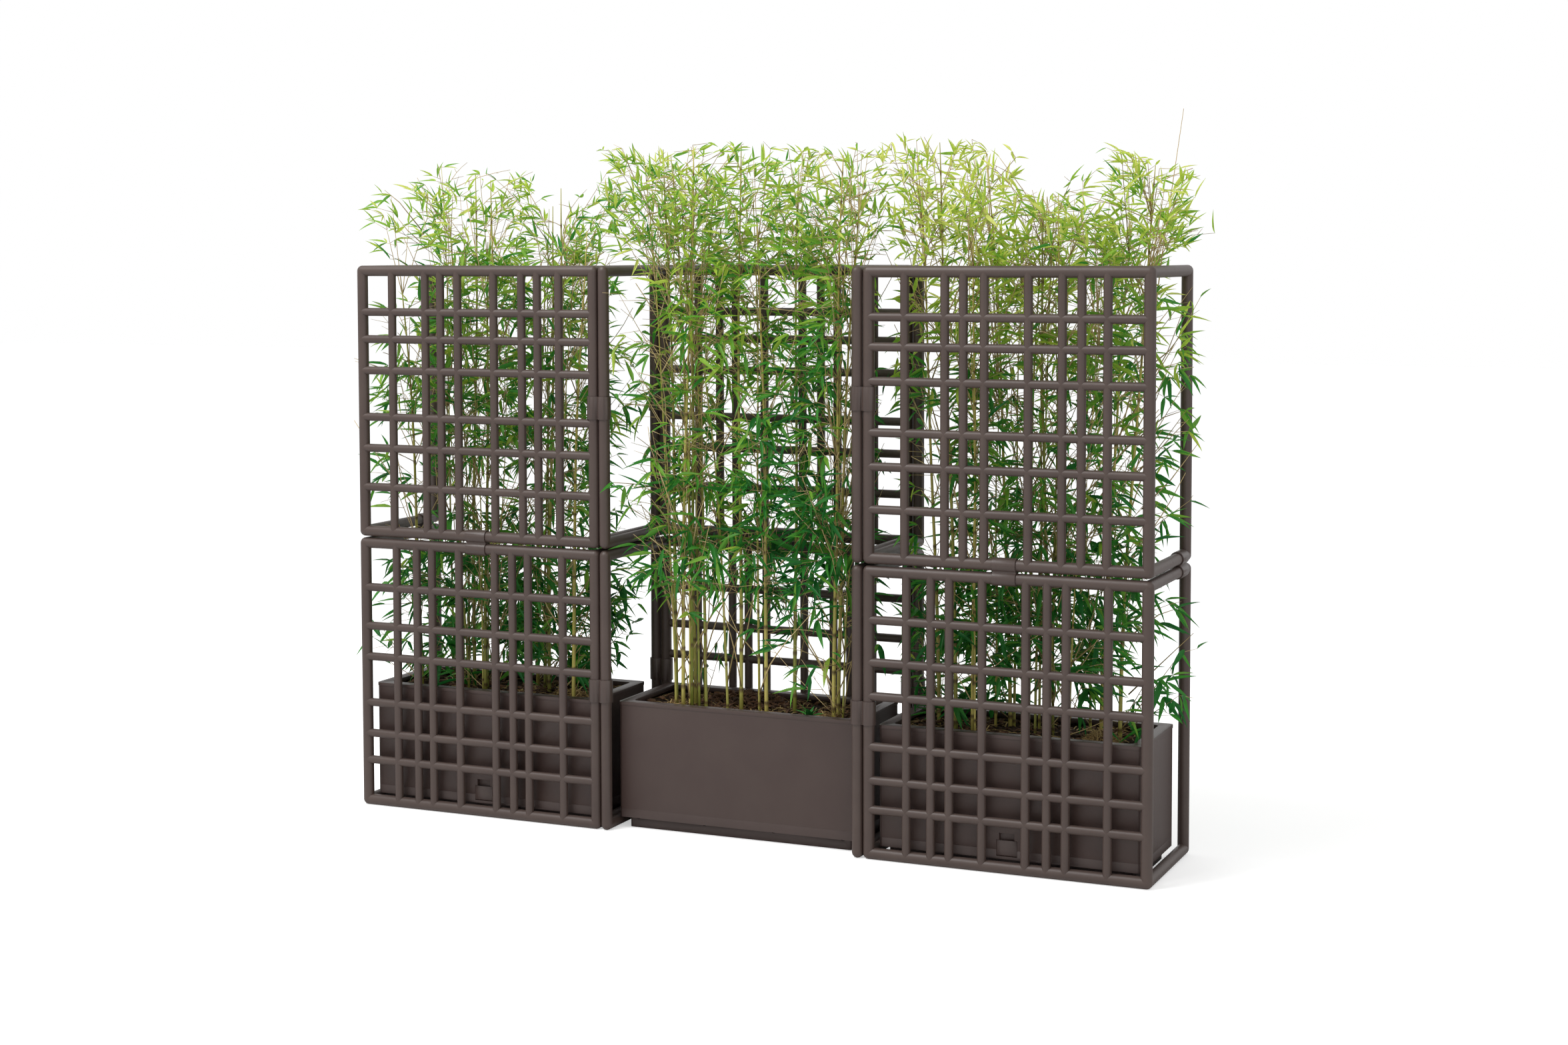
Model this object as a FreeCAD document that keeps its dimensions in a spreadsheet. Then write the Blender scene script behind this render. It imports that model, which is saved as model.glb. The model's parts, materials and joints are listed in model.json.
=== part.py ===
import FreeCAD, Part
import math
import os
import Sketcher

# A free-standing plant wall: six open box modules of round tube, clipped together three wide and
# two high, with a planter box in each of the lower three. X runs along the wall, Y to its back
# and Z up. The origin is on the floor under the middle of the wall. Lengths are millimetres.

doc = FreeCAD.newDocument("wall_planter")
sheet = doc.addObject("Spreadsheet::Sheet", "sizes")

# Driving sizes
SIZES = {
    # one module of the wall
    "module_height": "870",
    "module_depth": "450",
    "tube_diameter": "34",
    "bar_diameter": "26",
    "column_gap": "2",
    "row_gap": "5",
    "seam_gap": "0.6",
    "spigot_diameter": "26",
    "spigot_length": "80",
    "spigot_play": "0.2",
    "corner_spigot_length": "30",
    # clips
    "clip_length": "70",
    "clip_wall": "4",
    "clip_web": "24",
    "clip_play": "0.2",
    "clip_drop": "1",
    "raised_clip_lift": "48",
    "end_clip_setback": "142",
    # planter box
    "planter_shift": "10",
    "planter_clearance": "3",
    "rim_width": "796",
    "rim_depth": "356",
    "rim_top": "396",
    "rim_plate": "4",
    "rim_lip": "10",
    "rim_overhang": "1.5",
    "rim_shelf": "30",
    "rim_radius": "14",
    "inner_lip": "10",
    "box_wall": "4",
    "box_floor": "4",
    "seam_height": "62.5",
    "skirt_depth": "9",
    "skirt_play": "0.5",
    # base tray with its plinth
    "tray_underside": "35.5",
    "plinth_end_setback": "25",
    "plinth_face_setback": "28",
    "plinth_wall": "6",
    "plinth_rib": "12",
    "plinth_radius": "10",
    "vent_width": "10",
    "vent_height": "6",
    "vent_margin": "3",
    # catch and finger recess
    "catch_width": "62",
    "catch_height": "42",
    "catch_plate": "4",
    "catch_gap": "0.6",
    "pin_diameter": "4",
    "pin_play": "0.08",
    "knuckle_diameter": "9",
    "knuckle_gap": "0.5",
    "pin_hold": "5",
    "skirt_notch_play": "1",
    "recess_width": "46",
    "recess_height": "31",
    "recess_depth": "14",
    "recess_overlap": "10",
    "recess_wall": "3",
    # false bottom and overflow tube
    "reserve_height": "56",
    "grid_plate": "4",
    "grid_play": "1",
    "grid_leg": "16",
    "grid_hole": "12",
    "grid_step": "68",
    "overflow_diameter": "20",
    "overflow_wall": "2",
    "overflow_inset": "40",
    "overflow_flange": "32",
    "overflow_plate": "3",
    "overflow_play": "0.2",
    "overflow_below_grid": "8",
    # soil and bamboo
    "soil_play": "0.4",
    "soil_below_rim": "22",
    "culm_diameter": "13",
    "culm_tip_diameter": "5",
    "culm_root": "60",
    "culm_height": "1800",
    "leaf_length": "120",
    "leaf_width": "15",
    "leaf_thickness": "1",
    "twig_length": "62",
    "twig_width": "2.4",
    "leaf_gap": "0.2",
    "leaf_side_room": "8",
    "leaf_open_room": "120",
}

# Sizes that follow from the driving sizes
DERIVED = {
    "tube_radius": "=tube_diameter / 2",
    "bar_radius": "=bar_diameter / 2",
    "module_width": "=rim_width + 2 * planter_clearance + 2 * tube_diameter",
    "half_width": "=module_width / 2 - tube_radius",
    "half_height": "=module_height / 2 - tube_radius",
    "half_depth": "=module_depth / 2 - tube_radius",
    "corner_face": "=0 - half_depth + tube_radius",
    "bar_plane": "=0 - half_depth - tube_radius + bar_radius",
    "column_pitch": "=module_width + column_gap",
    "row_pitch": "=module_height + row_gap",
    "column_span": "=tube_diameter + column_gap",
    "row_span": "=tube_diameter + row_gap",
    "clip_hole": "=tube_radius + clip_play",
    "clip_radius": "=tube_radius + clip_wall",
    "body_width": "=rim_width - 2 * rim_overhang",
    "body_depth": "=rim_depth - 2 * rim_overhang",
    "body_radius": "=rim_radius - rim_overhang",
    "cavity_radius": "=body_radius - box_wall",
    "cavity_width": "=body_width - 2 * box_wall",
    "cavity_depth": "=body_depth - 2 * box_wall",
    "plinth_width": "=rim_width - 2 * plinth_end_setback",
    "plinth_depth": "=rim_depth - 2 * plinth_face_setback",
    "opening_width": "=cavity_width - 2 * rim_shelf",
    "opening_depth": "=cavity_depth - 2 * rim_shelf",
    "skirt_width": "=cavity_width - 2 * skirt_play",
    "skirt_length": "=cavity_depth - 2 * skirt_play",
    "floor_top": "=seam_height + box_floor",
    "box_face": "=body_depth / 2",
    "catch_below": "=catch_height / 3",
    "catch_top": "=seam_height + catch_height - catch_below",
    "pin_height": "=seam_height - catch_below",
    "pin_setout": "=box_face - knuckle_diameter / 2",
    "pocket_depth": "=knuckle_diameter + knuckle_gap",
    "pin_length": "=catch_width + 2 * knuckle_gap + 2 * pin_hold",
    "recess_bottom": "=catch_top - recess_overlap",
    "grid_top": "=floor_top + reserve_height",
    "soil_top": "=rim_top - soil_below_rim",
}

ROW = 1
for table in (SIZES, DERIVED):
    for alias, text in table.items():
        sheet.set(f"A{ROW}", alias)
        sheet.set(f"B{ROW}", text)
        sheet.setAlias(f"B{ROW}", alias)
        ROW += 1
doc.recompute()


def size(alias):
    """The value of one named size in millimetres."""
    return float(sheet.get(alias))


def bound(text):
    """An expression in named sizes, written for an object of the document."""
    words = text.replace("(", " ( ").replace(")", " ) ").split()
    names = set(SIZES) | set(DERIVED)
    return " ".join(f"sizes.{word}" if word in names else word for word in words)


def bind(thing, **expressions):
    """Binds properties of an object to expressions; at gives the three coordinates of its base."""
    for name, text in expressions.items():
        if name == "at":
            for letter, coordinate in zip("xyz", text):
                thing.setExpression(f"Placement.Base.{letter}", bound(coordinate))
        else:
            thing.setExpression(name, bound(text))
    return thing


# Directions that a cylinder's own upright axis can be turned to
TURNS = {
    "x": FreeCAD.Rotation(FreeCAD.Vector(0, 1, 0), 90),
    "y": FreeCAD.Rotation(FreeCAD.Vector(1, 0, 0), -90),
    "z": FreeCAD.Rotation(),
}


def rod(name, along, radius, length, at):
    """A round bar that starts at a point and runs along one axis."""
    bar = doc.addObject("Part::Cylinder", name)
    bar.Placement.Rotation = TURNS[along]
    return bind(bar, Radius=radius, Height=length, at=at)


def ball(name, radius, at):
    """A ball that rounds the corner where tubes meet."""
    return bind(doc.addObject("Part::Sphere", name), Radius=radius, at=at)


def block(name, length, width, height, at):
    """A plain block from its lowest corner."""
    return bind(doc.addObject("Part::Box", name), Length=length, Width=width, Height=height, at=at)


def fuse(name, pieces):
    joined = doc.addObject("Part::MultiFuse", name)
    joined.Shapes = pieces
    return joined


def cut(name, base, tools):
    """One shape with others taken out of it."""
    tool = tools[0] if len(tools) == 1 else fuse(name + "_tools", tools)
    less = doc.addObject("Part::Cut", name)
    less.Base = base
    less.Tool = tool
    return less


SUBPARTS = []


def subpart(name, shapes, turn=None, at=("0", "0", "0")):
    """A named sub-part: one or more solids, turned and moved together to their place."""
    group = doc.addObject("Part::Compound", name)
    group.Label = name
    group.Links = shapes
    if turn is not None:
        group.Placement.Rotation = turn
    bind(group, at=at)
    SUBPARTS.append(group)
    return group


def rounded_outline(sketch, width, depth, radius):
    """A rectangle with round corners about the sketch's origin, bound to three sizes."""
    half_w = size("rim_width") / 2
    half_d = size("rim_depth") / 2
    corner = size("rim_radius")
    first = sketch.GeometryCount
    inner_w = half_w - corner
    inner_d = half_d - corner
    lines = [
        ((-inner_w, -half_d), (inner_w, -half_d)),
        ((half_w, -inner_d), (half_w, inner_d)),
        ((inner_w, half_d), (-inner_w, half_d)),
        ((-half_w, inner_d), (-half_w, -inner_d)),
    ]
    centres = [(inner_w, -inner_d), (inner_w, inner_d), (-inner_w, inner_d), (-inner_w, -inner_d)]
    for quarter, ((x1, y1), (x2, y2)) in enumerate(lines):
        sketch.addGeometry(Part.LineSegment(FreeCAD.Vector(x1, y1, 0), FreeCAD.Vector(x2, y2, 0)), False)
        middle = FreeCAD.Vector(*centres[quarter], 0)
        circle = Part.Circle(middle, FreeCAD.Vector(0, 0, 1), corner)
        start = math.radians(90 * quarter - 90)
        sketch.addGeometry(Part.ArcOfCircle(circle, start, start + math.pi / 2), False)
    rules = []
    for quarter in range(4):
        line = first + 2 * quarter
        arc = line + 1
        following = first + (2 * quarter + 2) % 8
        rules.append(Sketcher.Constraint("Tangent", line, 2, arc, 1))
        rules.append(Sketcher.Constraint("Tangent", arc, 2, following, 1))
        rules.append(Sketcher.Constraint("Horizontal" if quarter % 2 == 0 else "Vertical", line))
        if quarter:
            rules.append(Sketcher.Constraint("Equal", first + 1, arc))
    rules.append(Sketcher.Constraint("Symmetric", first + 1, 3, first + 5, 3, -1, 1))
    sketch.addConstraint(rules)
    across = Sketcher.Constraint("DistanceX", first + 6, 1, first + 2, 1, 2 * half_w)
    deep = Sketcher.Constraint("DistanceY", first, 1, first + 4, 1, 2 * half_d)
    round_corner = Sketcher.Constraint("Radius", first + 1, corner)
    for rule, text in ((across, width), (deep, depth), (round_corner, radius)):
        number = sketch.addConstraint(rule)
        sketch.setExpression(f"Constraints[{number}]", bound(text))


def base_plane(body, role):
    return [feature for feature in body.Origin.OriginFeatures if feature.Role == role][0]


def layer(body, name, outlines, start, height, kind="PartDesign::Pad"):
    """Adds or cuts one level layer of a moulded body, from a start height upwards."""
    sketch = body.newObject("Sketcher::SketchObject", name + "_outline")
    sketch.AttachmentSupport = [(base_plane(body, "XY_Plane"), "")]
    sketch.MapMode = "FlatFace"
    sketch.setExpression("AttachmentOffset.Base.z", bound(start))
    for outline in outlines:
        rounded_outline(sketch, *outline)
    feature = body.newObject(kind, name)
    feature.Profile = sketch
    feature.setExpression("Length", bound(height))
    if kind == "PartDesign::Pocket":
        feature.Reversed = True
    return feature


def moulding(name):
    return doc.addObject("PartDesign::Body", name)


# Lattice panel, in the frame of its own module: the origin is the module's middle
UPRIGHT_BAR_SHARES = (0.135, 0.282, 0.349, 0.4245, 0.581, 0.7005, 0.768, 0.858)
LEVEL_BAR_SHARES = (0.171, 0.321, 0.4405, 0.619, 0.739, 0.843)


def lattice_panel():
    """Flat square tube frame with round bars flush with its outer face, and a socket at each corner."""
    pieces = []
    sockets = []
    for side in ("-", ""):
        edge = "left" if side else "right"
        level = "bottom" if side else "top"
        pieces.append(rod(f"tube_{edge}", "z", "tube_radius", "2 * half_height",
                          (f"{side}1 * half_width", "-1 * half_depth", "-1 * half_height")))
        pieces.append(rod(f"tube_{level}", "x", "tube_radius", "2 * half_width",
                          ("-1 * half_width", "-1 * half_depth", f"{side}1 * half_height")))
        for other in ("-", ""):
            corner = f"{edge}_{'bottom' if other else 'top'}"
            x = f"{side}1 * half_width"
            z = f"{other}1 * half_height"
            pieces.append(ball(f"corner_{corner}", "tube_radius", (x, "-1 * half_depth", z)))
            pieces.append(rod(f"corner_end_{corner}", "y", "tube_radius", "tube_radius",
                              (x, "-1 * half_depth", z)))
            sockets.append(rod(f"corner_socket_{corner}", "y", "spigot_diameter / 2",
                               "corner_spigot_length / 2",
                               (x, "corner_face - corner_spigot_length / 2", z)))
    for number, share in enumerate(UPRIGHT_BAR_SHARES):
        pieces.append(rod(f"upright_bar_{number}", "z", "bar_radius", "2 * half_height",
                          (f"{2 * share - 1:.4f} * half_width", "bar_plane", "-1 * half_height")))
    for number, share in enumerate(LEVEL_BAR_SHARES):
        pieces.append(rod(f"level_bar_{number}", "x", "bar_radius", "2 * half_width",
                          ("-1 * half_width", "bar_plane", f"{2 * share - 1:.4f} * half_height")))
    return cut("lattice_panel", fuse("lattice_tubes", pieces), sockets)


def depth_tubes():
    """The four short tubes that run from a panel's corners to the seams half way back."""
    tubes = []
    for x_side in (-1, 1):
        for z_side in (-1, 1):
            tag = f"{x_side + 1}_{z_side + 1}"
            x = f"{x_side} * half_width"
            z = f"{z_side} * half_height"
            outside = rod(f"depth_rod_{tag}", "y", "tube_radius", "0 - corner_face - seam_gap / 2",
                          (x, "corner_face", z))
            front = rod(f"front_socket_{tag}", "y", "spigot_diameter / 2", "corner_spigot_length / 2",
                        (x, "corner_face", z))
            back = rod(f"seam_socket_{tag}", "y", "spigot_diameter / 2", "spigot_length / 2",
                       (x, "-1 * spigot_length / 2", z))
            tubes.append(cut(f"depth_tube_{tag}", outside, [front, back]))
    compound = doc.addObject("Part::Compound", "module_depth_tubes")
    compound.Links = tubes
    return compound


def side_bow(side):
    """Far upright tube with the other halves of the two depth tubes, at one side of a module."""
    edge = "left" if side < 0 else "right"
    x = f"{side} * half_width"
    pieces = [rod(f"bow_upright_{edge}", "z", "tube_radius", "2 * half_height",
                  (x, "half_depth", "-1 * half_height"))]
    sockets = []
    for level in (-1, 1):
        z = f"{level} * half_height"
        tag = f"{edge}_{'bottom' if level < 0 else 'top'}"
        pieces.append(ball(f"bow_corner_{tag}", "tube_radius", (x, "half_depth", z)))
        pieces.append(rod(f"bow_half_{tag}", "y", "tube_radius", "half_depth - seam_gap / 2",
                          (x, "seam_gap / 2", z)))
        sockets.append(rod(f"bow_socket_{tag}", "y", "spigot_diameter / 2", "spigot_length",
                           (x, "-1 * spigot_length / 2", z)))
    return cut(f"side_bow_{edge}", fuse(f"bow_tubes_{edge}", pieces), sockets)


def module_spigots():
    """The short plugs inside the tubes, at the four seams and at the panel's four corners."""
    plugs = []
    for x_side in (-1, 1):
        for z_side in (-1, 1):
            for place, middle, length in (("seam", "0", "spigot_length"),
                                          ("corner", "corner_face", "corner_spigot_length")):
                plugs.append(rod(f"{place}_spigot_{x_side + 1}_{z_side + 1}", "y",
                                 "spigot_diameter / 2 - spigot_play", f"{length} - 2 * spigot_play",
                                 (f"{x_side} * half_width", f"{middle} + spigot_play - {length} / 2",
                                  f"{z_side} * half_height")))
    compound = doc.addObject("Part::Compound", "module_spigots")
    compound.Links = plugs
    return compound


def clip(name, span, middle, along):
    """A band round two neighbouring tubes, with a recessed web across the gap between them."""
    ends = []
    holes = []
    for side in (-1, 1):
        offset = {"z": (f"{side} * {span} / 2", "0", "0"),
                  "x": ("0", "0", f"{side} * {span} / 2"),
                  "y": ("0", "0", f"{side} * {span} / 2")}[along]
        start = {"x": ("-1 * clip_length / 2", "0", "0"),
                 "y": ("0", "-1 * clip_length / 2", "0"),
                 "z": ("0", "0", "-1 * clip_length / 2")}[along]
        place = tuple(f"{a} + {b} + {c}" for a, b, c in zip(middle, offset, start))
        ends.append(rod(f"{name}_band_{side + 1}", along, "clip_radius", "clip_length", place))
        holes.append(rod(f"{name}_hole_{side + 1}", along, "clip_hole", "clip_length", place))
    extent = {"z": (span, "clip_web", "clip_length"),
              "x": ("clip_length", "clip_web", span),
              "y": ("clip_web", "clip_length", span)}[along]
    corner = tuple(f"{a} - ( {b} ) / 2" for a, b in zip(middle, extent))
    web = block(f"{name}_web", *extent, corner)
    return cut(name, fuse(f"{name}_outside", ends + [web]), holes)


RIB_SHARES = (-0.25, 0, 0.25)
VENT_SHARES = (-0.46, -0.155, 0.155, 0.46)
LEG_SHARES = [(x, y) for x in (-0.375, -0.125, 0.125, 0.375) for y in (-0.2, 0.2)]


def planter_box():
    """Box with a wide flat rim, a locating skirt under its floor and the finger recess."""
    body = moulding("box_moulding")
    outer = ("body_width", "body_depth", "body_radius")
    cavity = ("cavity_width", "cavity_depth", "cavity_radius")
    rim = ("rim_width", "rim_depth", "rim_radius")
    opening = ("opening_width", "opening_depth", "rim_radius")
    inner_lip = ("opening_width + 2 * box_wall", "opening_depth + 2 * box_wall", "rim_radius + box_wall")
    skirt = ("skirt_width", "skirt_length", "cavity_radius")
    skirt_hole = ("skirt_width - 2 * box_wall", "skirt_length - 2 * box_wall", "cavity_radius - box_wall")
    layer(body, "walls", [outer], "seam_height", "rim_top - rim_plate - seam_height")
    layer(body, "hollow", [cavity], "floor_top", "rim_top", "PartDesign::Pocket")
    layer(body, "rim_top_plate", [rim, opening], "rim_top - rim_plate", "rim_plate")
    layer(body, "rim_outer_lip", [rim, cavity], "rim_top - rim_lip", "rim_lip - rim_plate")
    layer(body, "rim_inner_lip", [inner_lip, opening], "rim_top - rim_plate - inner_lip", "inner_lip")
    layer(body, "skirt", [skirt, skirt_hole], "seam_height - skirt_depth", "skirt_depth")
    boss = block("recess_boss", "catch_width + 2 * catch_gap + 2 * recess_wall",
                 "recess_depth + recess_wall - box_wall / 2",
                 "recess_bottom + recess_height + recess_wall - seam_height",
                 ("-1 * catch_width / 2 - catch_gap - recess_wall", "-1 * box_face + box_wall / 2",
                  "seam_height"))
    recess = block("finger_recess", "recess_width", "recess_depth", "recess_height",
                   ("-1 * recess_width / 2", "-1 * box_face", "recess_bottom"))
    seat = block("catch_seat", "catch_width + 2 * catch_gap", "catch_plate + catch_gap",
                 "catch_top + catch_gap - seam_height",
                 ("-1 * catch_width / 2 - catch_gap", "-1 * box_face", "seam_height"))
    notch = block("skirt_notch", "pin_length + 2 * skirt_notch_play",
                  "pocket_depth + recess_wall + skirt_notch_play", "skirt_depth",
                  ("-1 * pin_length / 2 - skirt_notch_play", "-1 * box_face", "seam_height - skirt_depth"))
    drain = rod("overflow_hole", "z", "overflow_diameter / 2 + overflow_play", "box_floor",
                ("cavity_width / 2 - overflow_inset", "cavity_depth / 2 - overflow_inset", "seam_height"))
    return cut("planter_box_shape", fuse("box_with_boss", [body, boss]), [recess, seat, notch, drain])


def base_tray():
    """Tray under the box: the band below the seam, a ribbed plinth and the pocket for the catch."""
    body = moulding("tray_moulding")
    outer = ("body_width", "body_depth", "body_radius")
    cavity = ("cavity_width", "cavity_depth", "cavity_radius")
    plinth = ("plinth_width", "plinth_depth", "plinth_radius")
    hollow = ("plinth_width - 2 * plinth_wall", "plinth_depth - 2 * plinth_wall",
              "plinth_radius - plinth_wall")
    layer(body, "band", [outer], "tray_underside", "seam_height - tray_underside")
    layer(body, "basin", [cavity], "tray_underside + box_floor", "seam_height", "PartDesign::Pocket")
    layer(body, "plinth", [plinth, hollow], "0", "tray_underside")
    pieces = [body, block("plinth_rib_long", "plinth_width - plinth_wall", "plinth_rib", "tray_underside",
                          ("( plinth_wall - plinth_width ) / 2", "-1 * plinth_rib / 2", "0"))]
    for number, share in enumerate(RIB_SHARES):
        pieces.append(block(f"plinth_rib_{number}", "plinth_rib", "plinth_depth - plinth_wall",
                            "tray_underside",
                            (f"{share} * plinth_width - plinth_rib / 2",
                             "( plinth_wall - plinth_depth ) / 2", "0")))
    tools = []
    for number, share in enumerate(VENT_SHARES):
        tools.append(block(f"plinth_vent_{number}", "vent_width", "plinth_depth", "vent_height",
                           (f"{share} * plinth_width - vent_width / 2", "-1 * plinth_depth / 2",
                            "tray_underside - vent_margin - vent_height")))
    pieces.append(block("pocket_boss", "pin_length", "pocket_depth + recess_wall - box_wall / 2",
                        "seam_height - tray_underside",
                        ("-1 * pin_length / 2", "-1 * box_face + box_wall / 2", "tray_underside")))
    tools.append(block("catch_pocket", "catch_width + 2 * knuckle_gap", "pocket_depth",
                       "seam_height - pin_height + knuckle_diameter / 2 + knuckle_gap",
                       ("-1 * catch_width / 2 - knuckle_gap", "-1 * box_face",
                        "pin_height - knuckle_diameter / 2 - knuckle_gap")))
    tools.append(rod("pin_bore", "x", "pin_diameter / 2", "pin_length",
                     ("-1 * pin_length / 2", "-1 * pin_setout", "pin_height")))
    return cut("base_tray_shape", fuse("tray_with_pocket", pieces), tools)


def catch():
    """Hinged catch, flush with the box: a barrel on the pin, a plate over the seam and a nose."""
    barrel = rod("catch_barrel", "x", "knuckle_diameter / 2", "catch_width",
                 ("-1 * catch_width / 2", "-1 * pin_setout", "pin_height"))
    plate = block("catch_plate_block", "catch_width", "catch_plate", "catch_top - pin_height",
                  ("-1 * catch_width / 2", "-1 * box_face", "pin_height"))
    nose = block("catch_nose", "recess_width - 2 * recess_wall", "recess_wall", "recess_overlap / 2",
                 ("recess_wall - recess_width / 2", "-1 * box_face + catch_plate",
                  "recess_bottom + recess_overlap / 4"))
    bore = rod("catch_bore", "x", "pin_diameter / 2 + pin_play", "catch_width",
               ("-1 * catch_width / 2", "-1 * pin_setout", "pin_height"))
    return cut("catch_lever", fuse("catch_solid", [barrel, plate, nose]), [bore])


def catch_pin():
    """Plain pin through the catch's barrel, held at both ends in the tray."""
    return rod("catch_pin_rod", "x", "pin_diameter / 2", "pin_length",
               ("-1 * pin_length / 2", "-1 * pin_setout", "pin_height"))


def false_bottom():
    """Perforated plate on legs, which keeps the soil above the water space."""
    body = moulding("grid_moulding")
    outline = ("cavity_width - 2 * grid_play", "cavity_depth - 2 * grid_play", "cavity_radius")
    layer(body, "grid_sheet", [outline], "grid_top - grid_plate", "grid_plate")
    legs = []
    for number, (x, y) in enumerate(LEG_SHARES):
        legs.append(rod(f"grid_leg_{number}", "z", "grid_leg / 2", "reserve_height - grid_plate / 2",
                        (f"{x} * cavity_width", f"{y} * cavity_depth", "floor_top")))
    holes = []
    columns = int(size("cavity_width") / size("grid_step")) - 1
    rows = int(size("cavity_depth") / size("grid_step")) - 1
    for i in range(columns):
        for j in range(rows):
            holes.append(rod(f"grid_hole_{i}_{j}", "z", "grid_hole / 2", "grid_plate",
                             (f"{i - (columns - 1) / 2} * grid_step",
                              f"{j - (rows - 1) / 2} * grid_step", "grid_top - grid_plate")))
    return cut("false_bottom_shape", fuse("grid_with_legs", [body] + legs), holes)


def overflow_tube():
    """Stand pipe with a flange on the box floor, which lets surplus water down into the tray."""
    x = "cavity_width / 2 - overflow_inset"
    y = "cavity_depth / 2 - overflow_inset"
    length = "grid_top - grid_plate - overflow_below_grid - seam_height + skirt_depth"
    foot = "seam_height - skirt_depth"
    pipe = rod("overflow_pipe", "z", "overflow_diameter / 2", length, (x, y, foot))
    flange = rod("overflow_flange_disc", "z", "overflow_flange / 2", "overflow_plate", (x, y, "floor_top"))
    bore = rod("overflow_bore", "z", "overflow_diameter / 2 - overflow_wall", length, (x, y, foot))
    return cut("overflow_tube_shape", fuse("overflow_outside", [pipe, flange]), [bore])


# Bamboo. The stems stand on a scatter that steps of the golden ratio and its like give. The ones
# in the open middle stand in a clump by the left end and loosely to its right.
CULMS = 9
MIDDLE_CULM_SHARES = ((-0.328, -0.32, 0.97), (-0.29, -0.36, 1.0), (-0.255, -0.33, 0.9), (-0.265, -0.17, 0.95),
                      (-0.037, -0.25, 0.98), (0.091, -0.305, 0.84), (0.178, -0.056, 0.93),
                      (0.399, -0.32, 1.0), (0.385, -0.11, 0.88))
CULM_DEPTH_STEP_SHARE = 0.7549
CULM_SPREAD_SHARES = (0.86, 0.66)
HEIGHT_STEP_SHARE = 0.414
HEIGHT_RANGE_SHARES = (0.74, 1.0)
SPRAYS = 15
LOWEST_SPRAY_SHARE = 0.1
SPRAY_TURN = 137.5
SPRAY_TRIES = 8
SPRAY_DROOPS = (-25, 5, -35, 20, -10)
LEAF_ANGLES = (-38, 0, 34)
LEAF_BELLY_SHARE = 0.35


def culm_places(column):
    """Where the stems stand in one planter, from its middle, with each one's height."""
    if COLUMNS[column][0] == "middle":
        return [(x * size("opening_width"), y * size("opening_depth"), height * size("culm_height"))
                for x, y, height in MIDDLE_CULM_SHARES]
    places = []
    low, high = HEIGHT_RANGE_SHARES
    for number in range(CULMS):
        count = number + column * CULMS
        x = ((number + 0.5) / CULMS - 0.5) * CULM_SPREAD_SHARES[0] * size("opening_width")
        y = ((count * CULM_DEPTH_STEP_SHARE) % 1 - 0.5) * CULM_SPREAD_SHARES[1] * size("opening_depth")
        share = low + (high - low) * ((count * HEIGHT_STEP_SHARE) % 1)
        places.append((x, y, share * size("culm_height")))
    return places


def culm_solid(x, y, height):
    """One upright stem, tapering from below the soil to its tip."""
    stem = Part.makeCone(size("culm_diameter") / 2, size("culm_tip_diameter") / 2,
                         height + size("culm_root"))
    stem.translate(FreeCAD.Vector(x, y, size("soil_top") - size("culm_root")))
    return stem


def spray_solid():
    """A twig with three narrow leaves, flat, along +X from its stem."""
    twig = size("twig_length")
    half_twig = size("twig_width") / 2
    belly = size("leaf_length") * LEAF_BELLY_SHARE
    half_leaf = size("leaf_width") / 2
    points = [(0, -half_twig), (twig, -half_twig)]
    for angle in LEAF_ANGLES:
        c = math.cos(math.radians(angle))
        s = math.sin(math.radians(angle))
        for along, across in ((belly, -half_leaf), (size("leaf_length"), 0), (belly, half_leaf)):
            points.append((twig + along * c - across * s, along * s + across * c))
        if angle != LEAF_ANGLES[-1]:
            between = math.radians(angle - LEAF_ANGLES[0] / 2)
            points.append((twig + half_leaf * math.cos(between), half_leaf * math.sin(between)))
    points += [(twig, half_twig), (0, half_twig)]
    corners = [FreeCAD.Vector(px, py, -size("leaf_thickness") / 2) for px, py in points]
    face = Part.Face(Part.makePolygon(corners + corners[:1]))
    return face.extrude(FreeCAD.Vector(0, 0, size("leaf_thickness")))


def spray_fits(x, y, heading, open_side, places, own):
    """True where a spray keeps clear of the frame, the next planters and the other stems."""
    reach = size("twig_length") + size("leaf_length")
    c = math.cos(heading)
    s = math.sin(heading)
    room_x = size("half_width") - size("clip_radius") - size("leaf_side_room")
    room_y = size("half_depth") - size("clip_radius") - size("leaf_side_room")
    spread = size("leaf_length") * math.sin(math.radians(-LEAF_ANGLES[0]))
    for across in (0, spread, -spread):
        px = x + reach * c - across * s
        py = (y + reach * s + across * c) * open_side - size("planter_shift")
        if abs(px) > room_x or py < -room_y or py > room_y + size("leaf_open_room"):
            return False
    foreshortening = min(math.cos(math.radians(droop)) for droop in SPRAY_DROOPS)
    for number, (other_x, other_y, _) in enumerate(places):
        along = (other_x - x) * c + (other_y - y) * s
        across = abs((other_y - y) * c - (other_x - x) * s)
        fan = max(0, along / foreshortening - size("twig_length")) * math.tan(math.radians(-LEAF_ANGLES[0]))
        room = size("culm_diameter") + size("leaf_width") / 2 + fan
        if number != own and 0 < along < reach + size("culm_diameter") and across < room:
            return False
    return True


def crosses(solid, others):
    """True where a solid shares space with any of the others."""
    return any(solid.BoundBox.intersect(other.BoundBox) and solid.common(other).Volume > 0
               for other in others)


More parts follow.
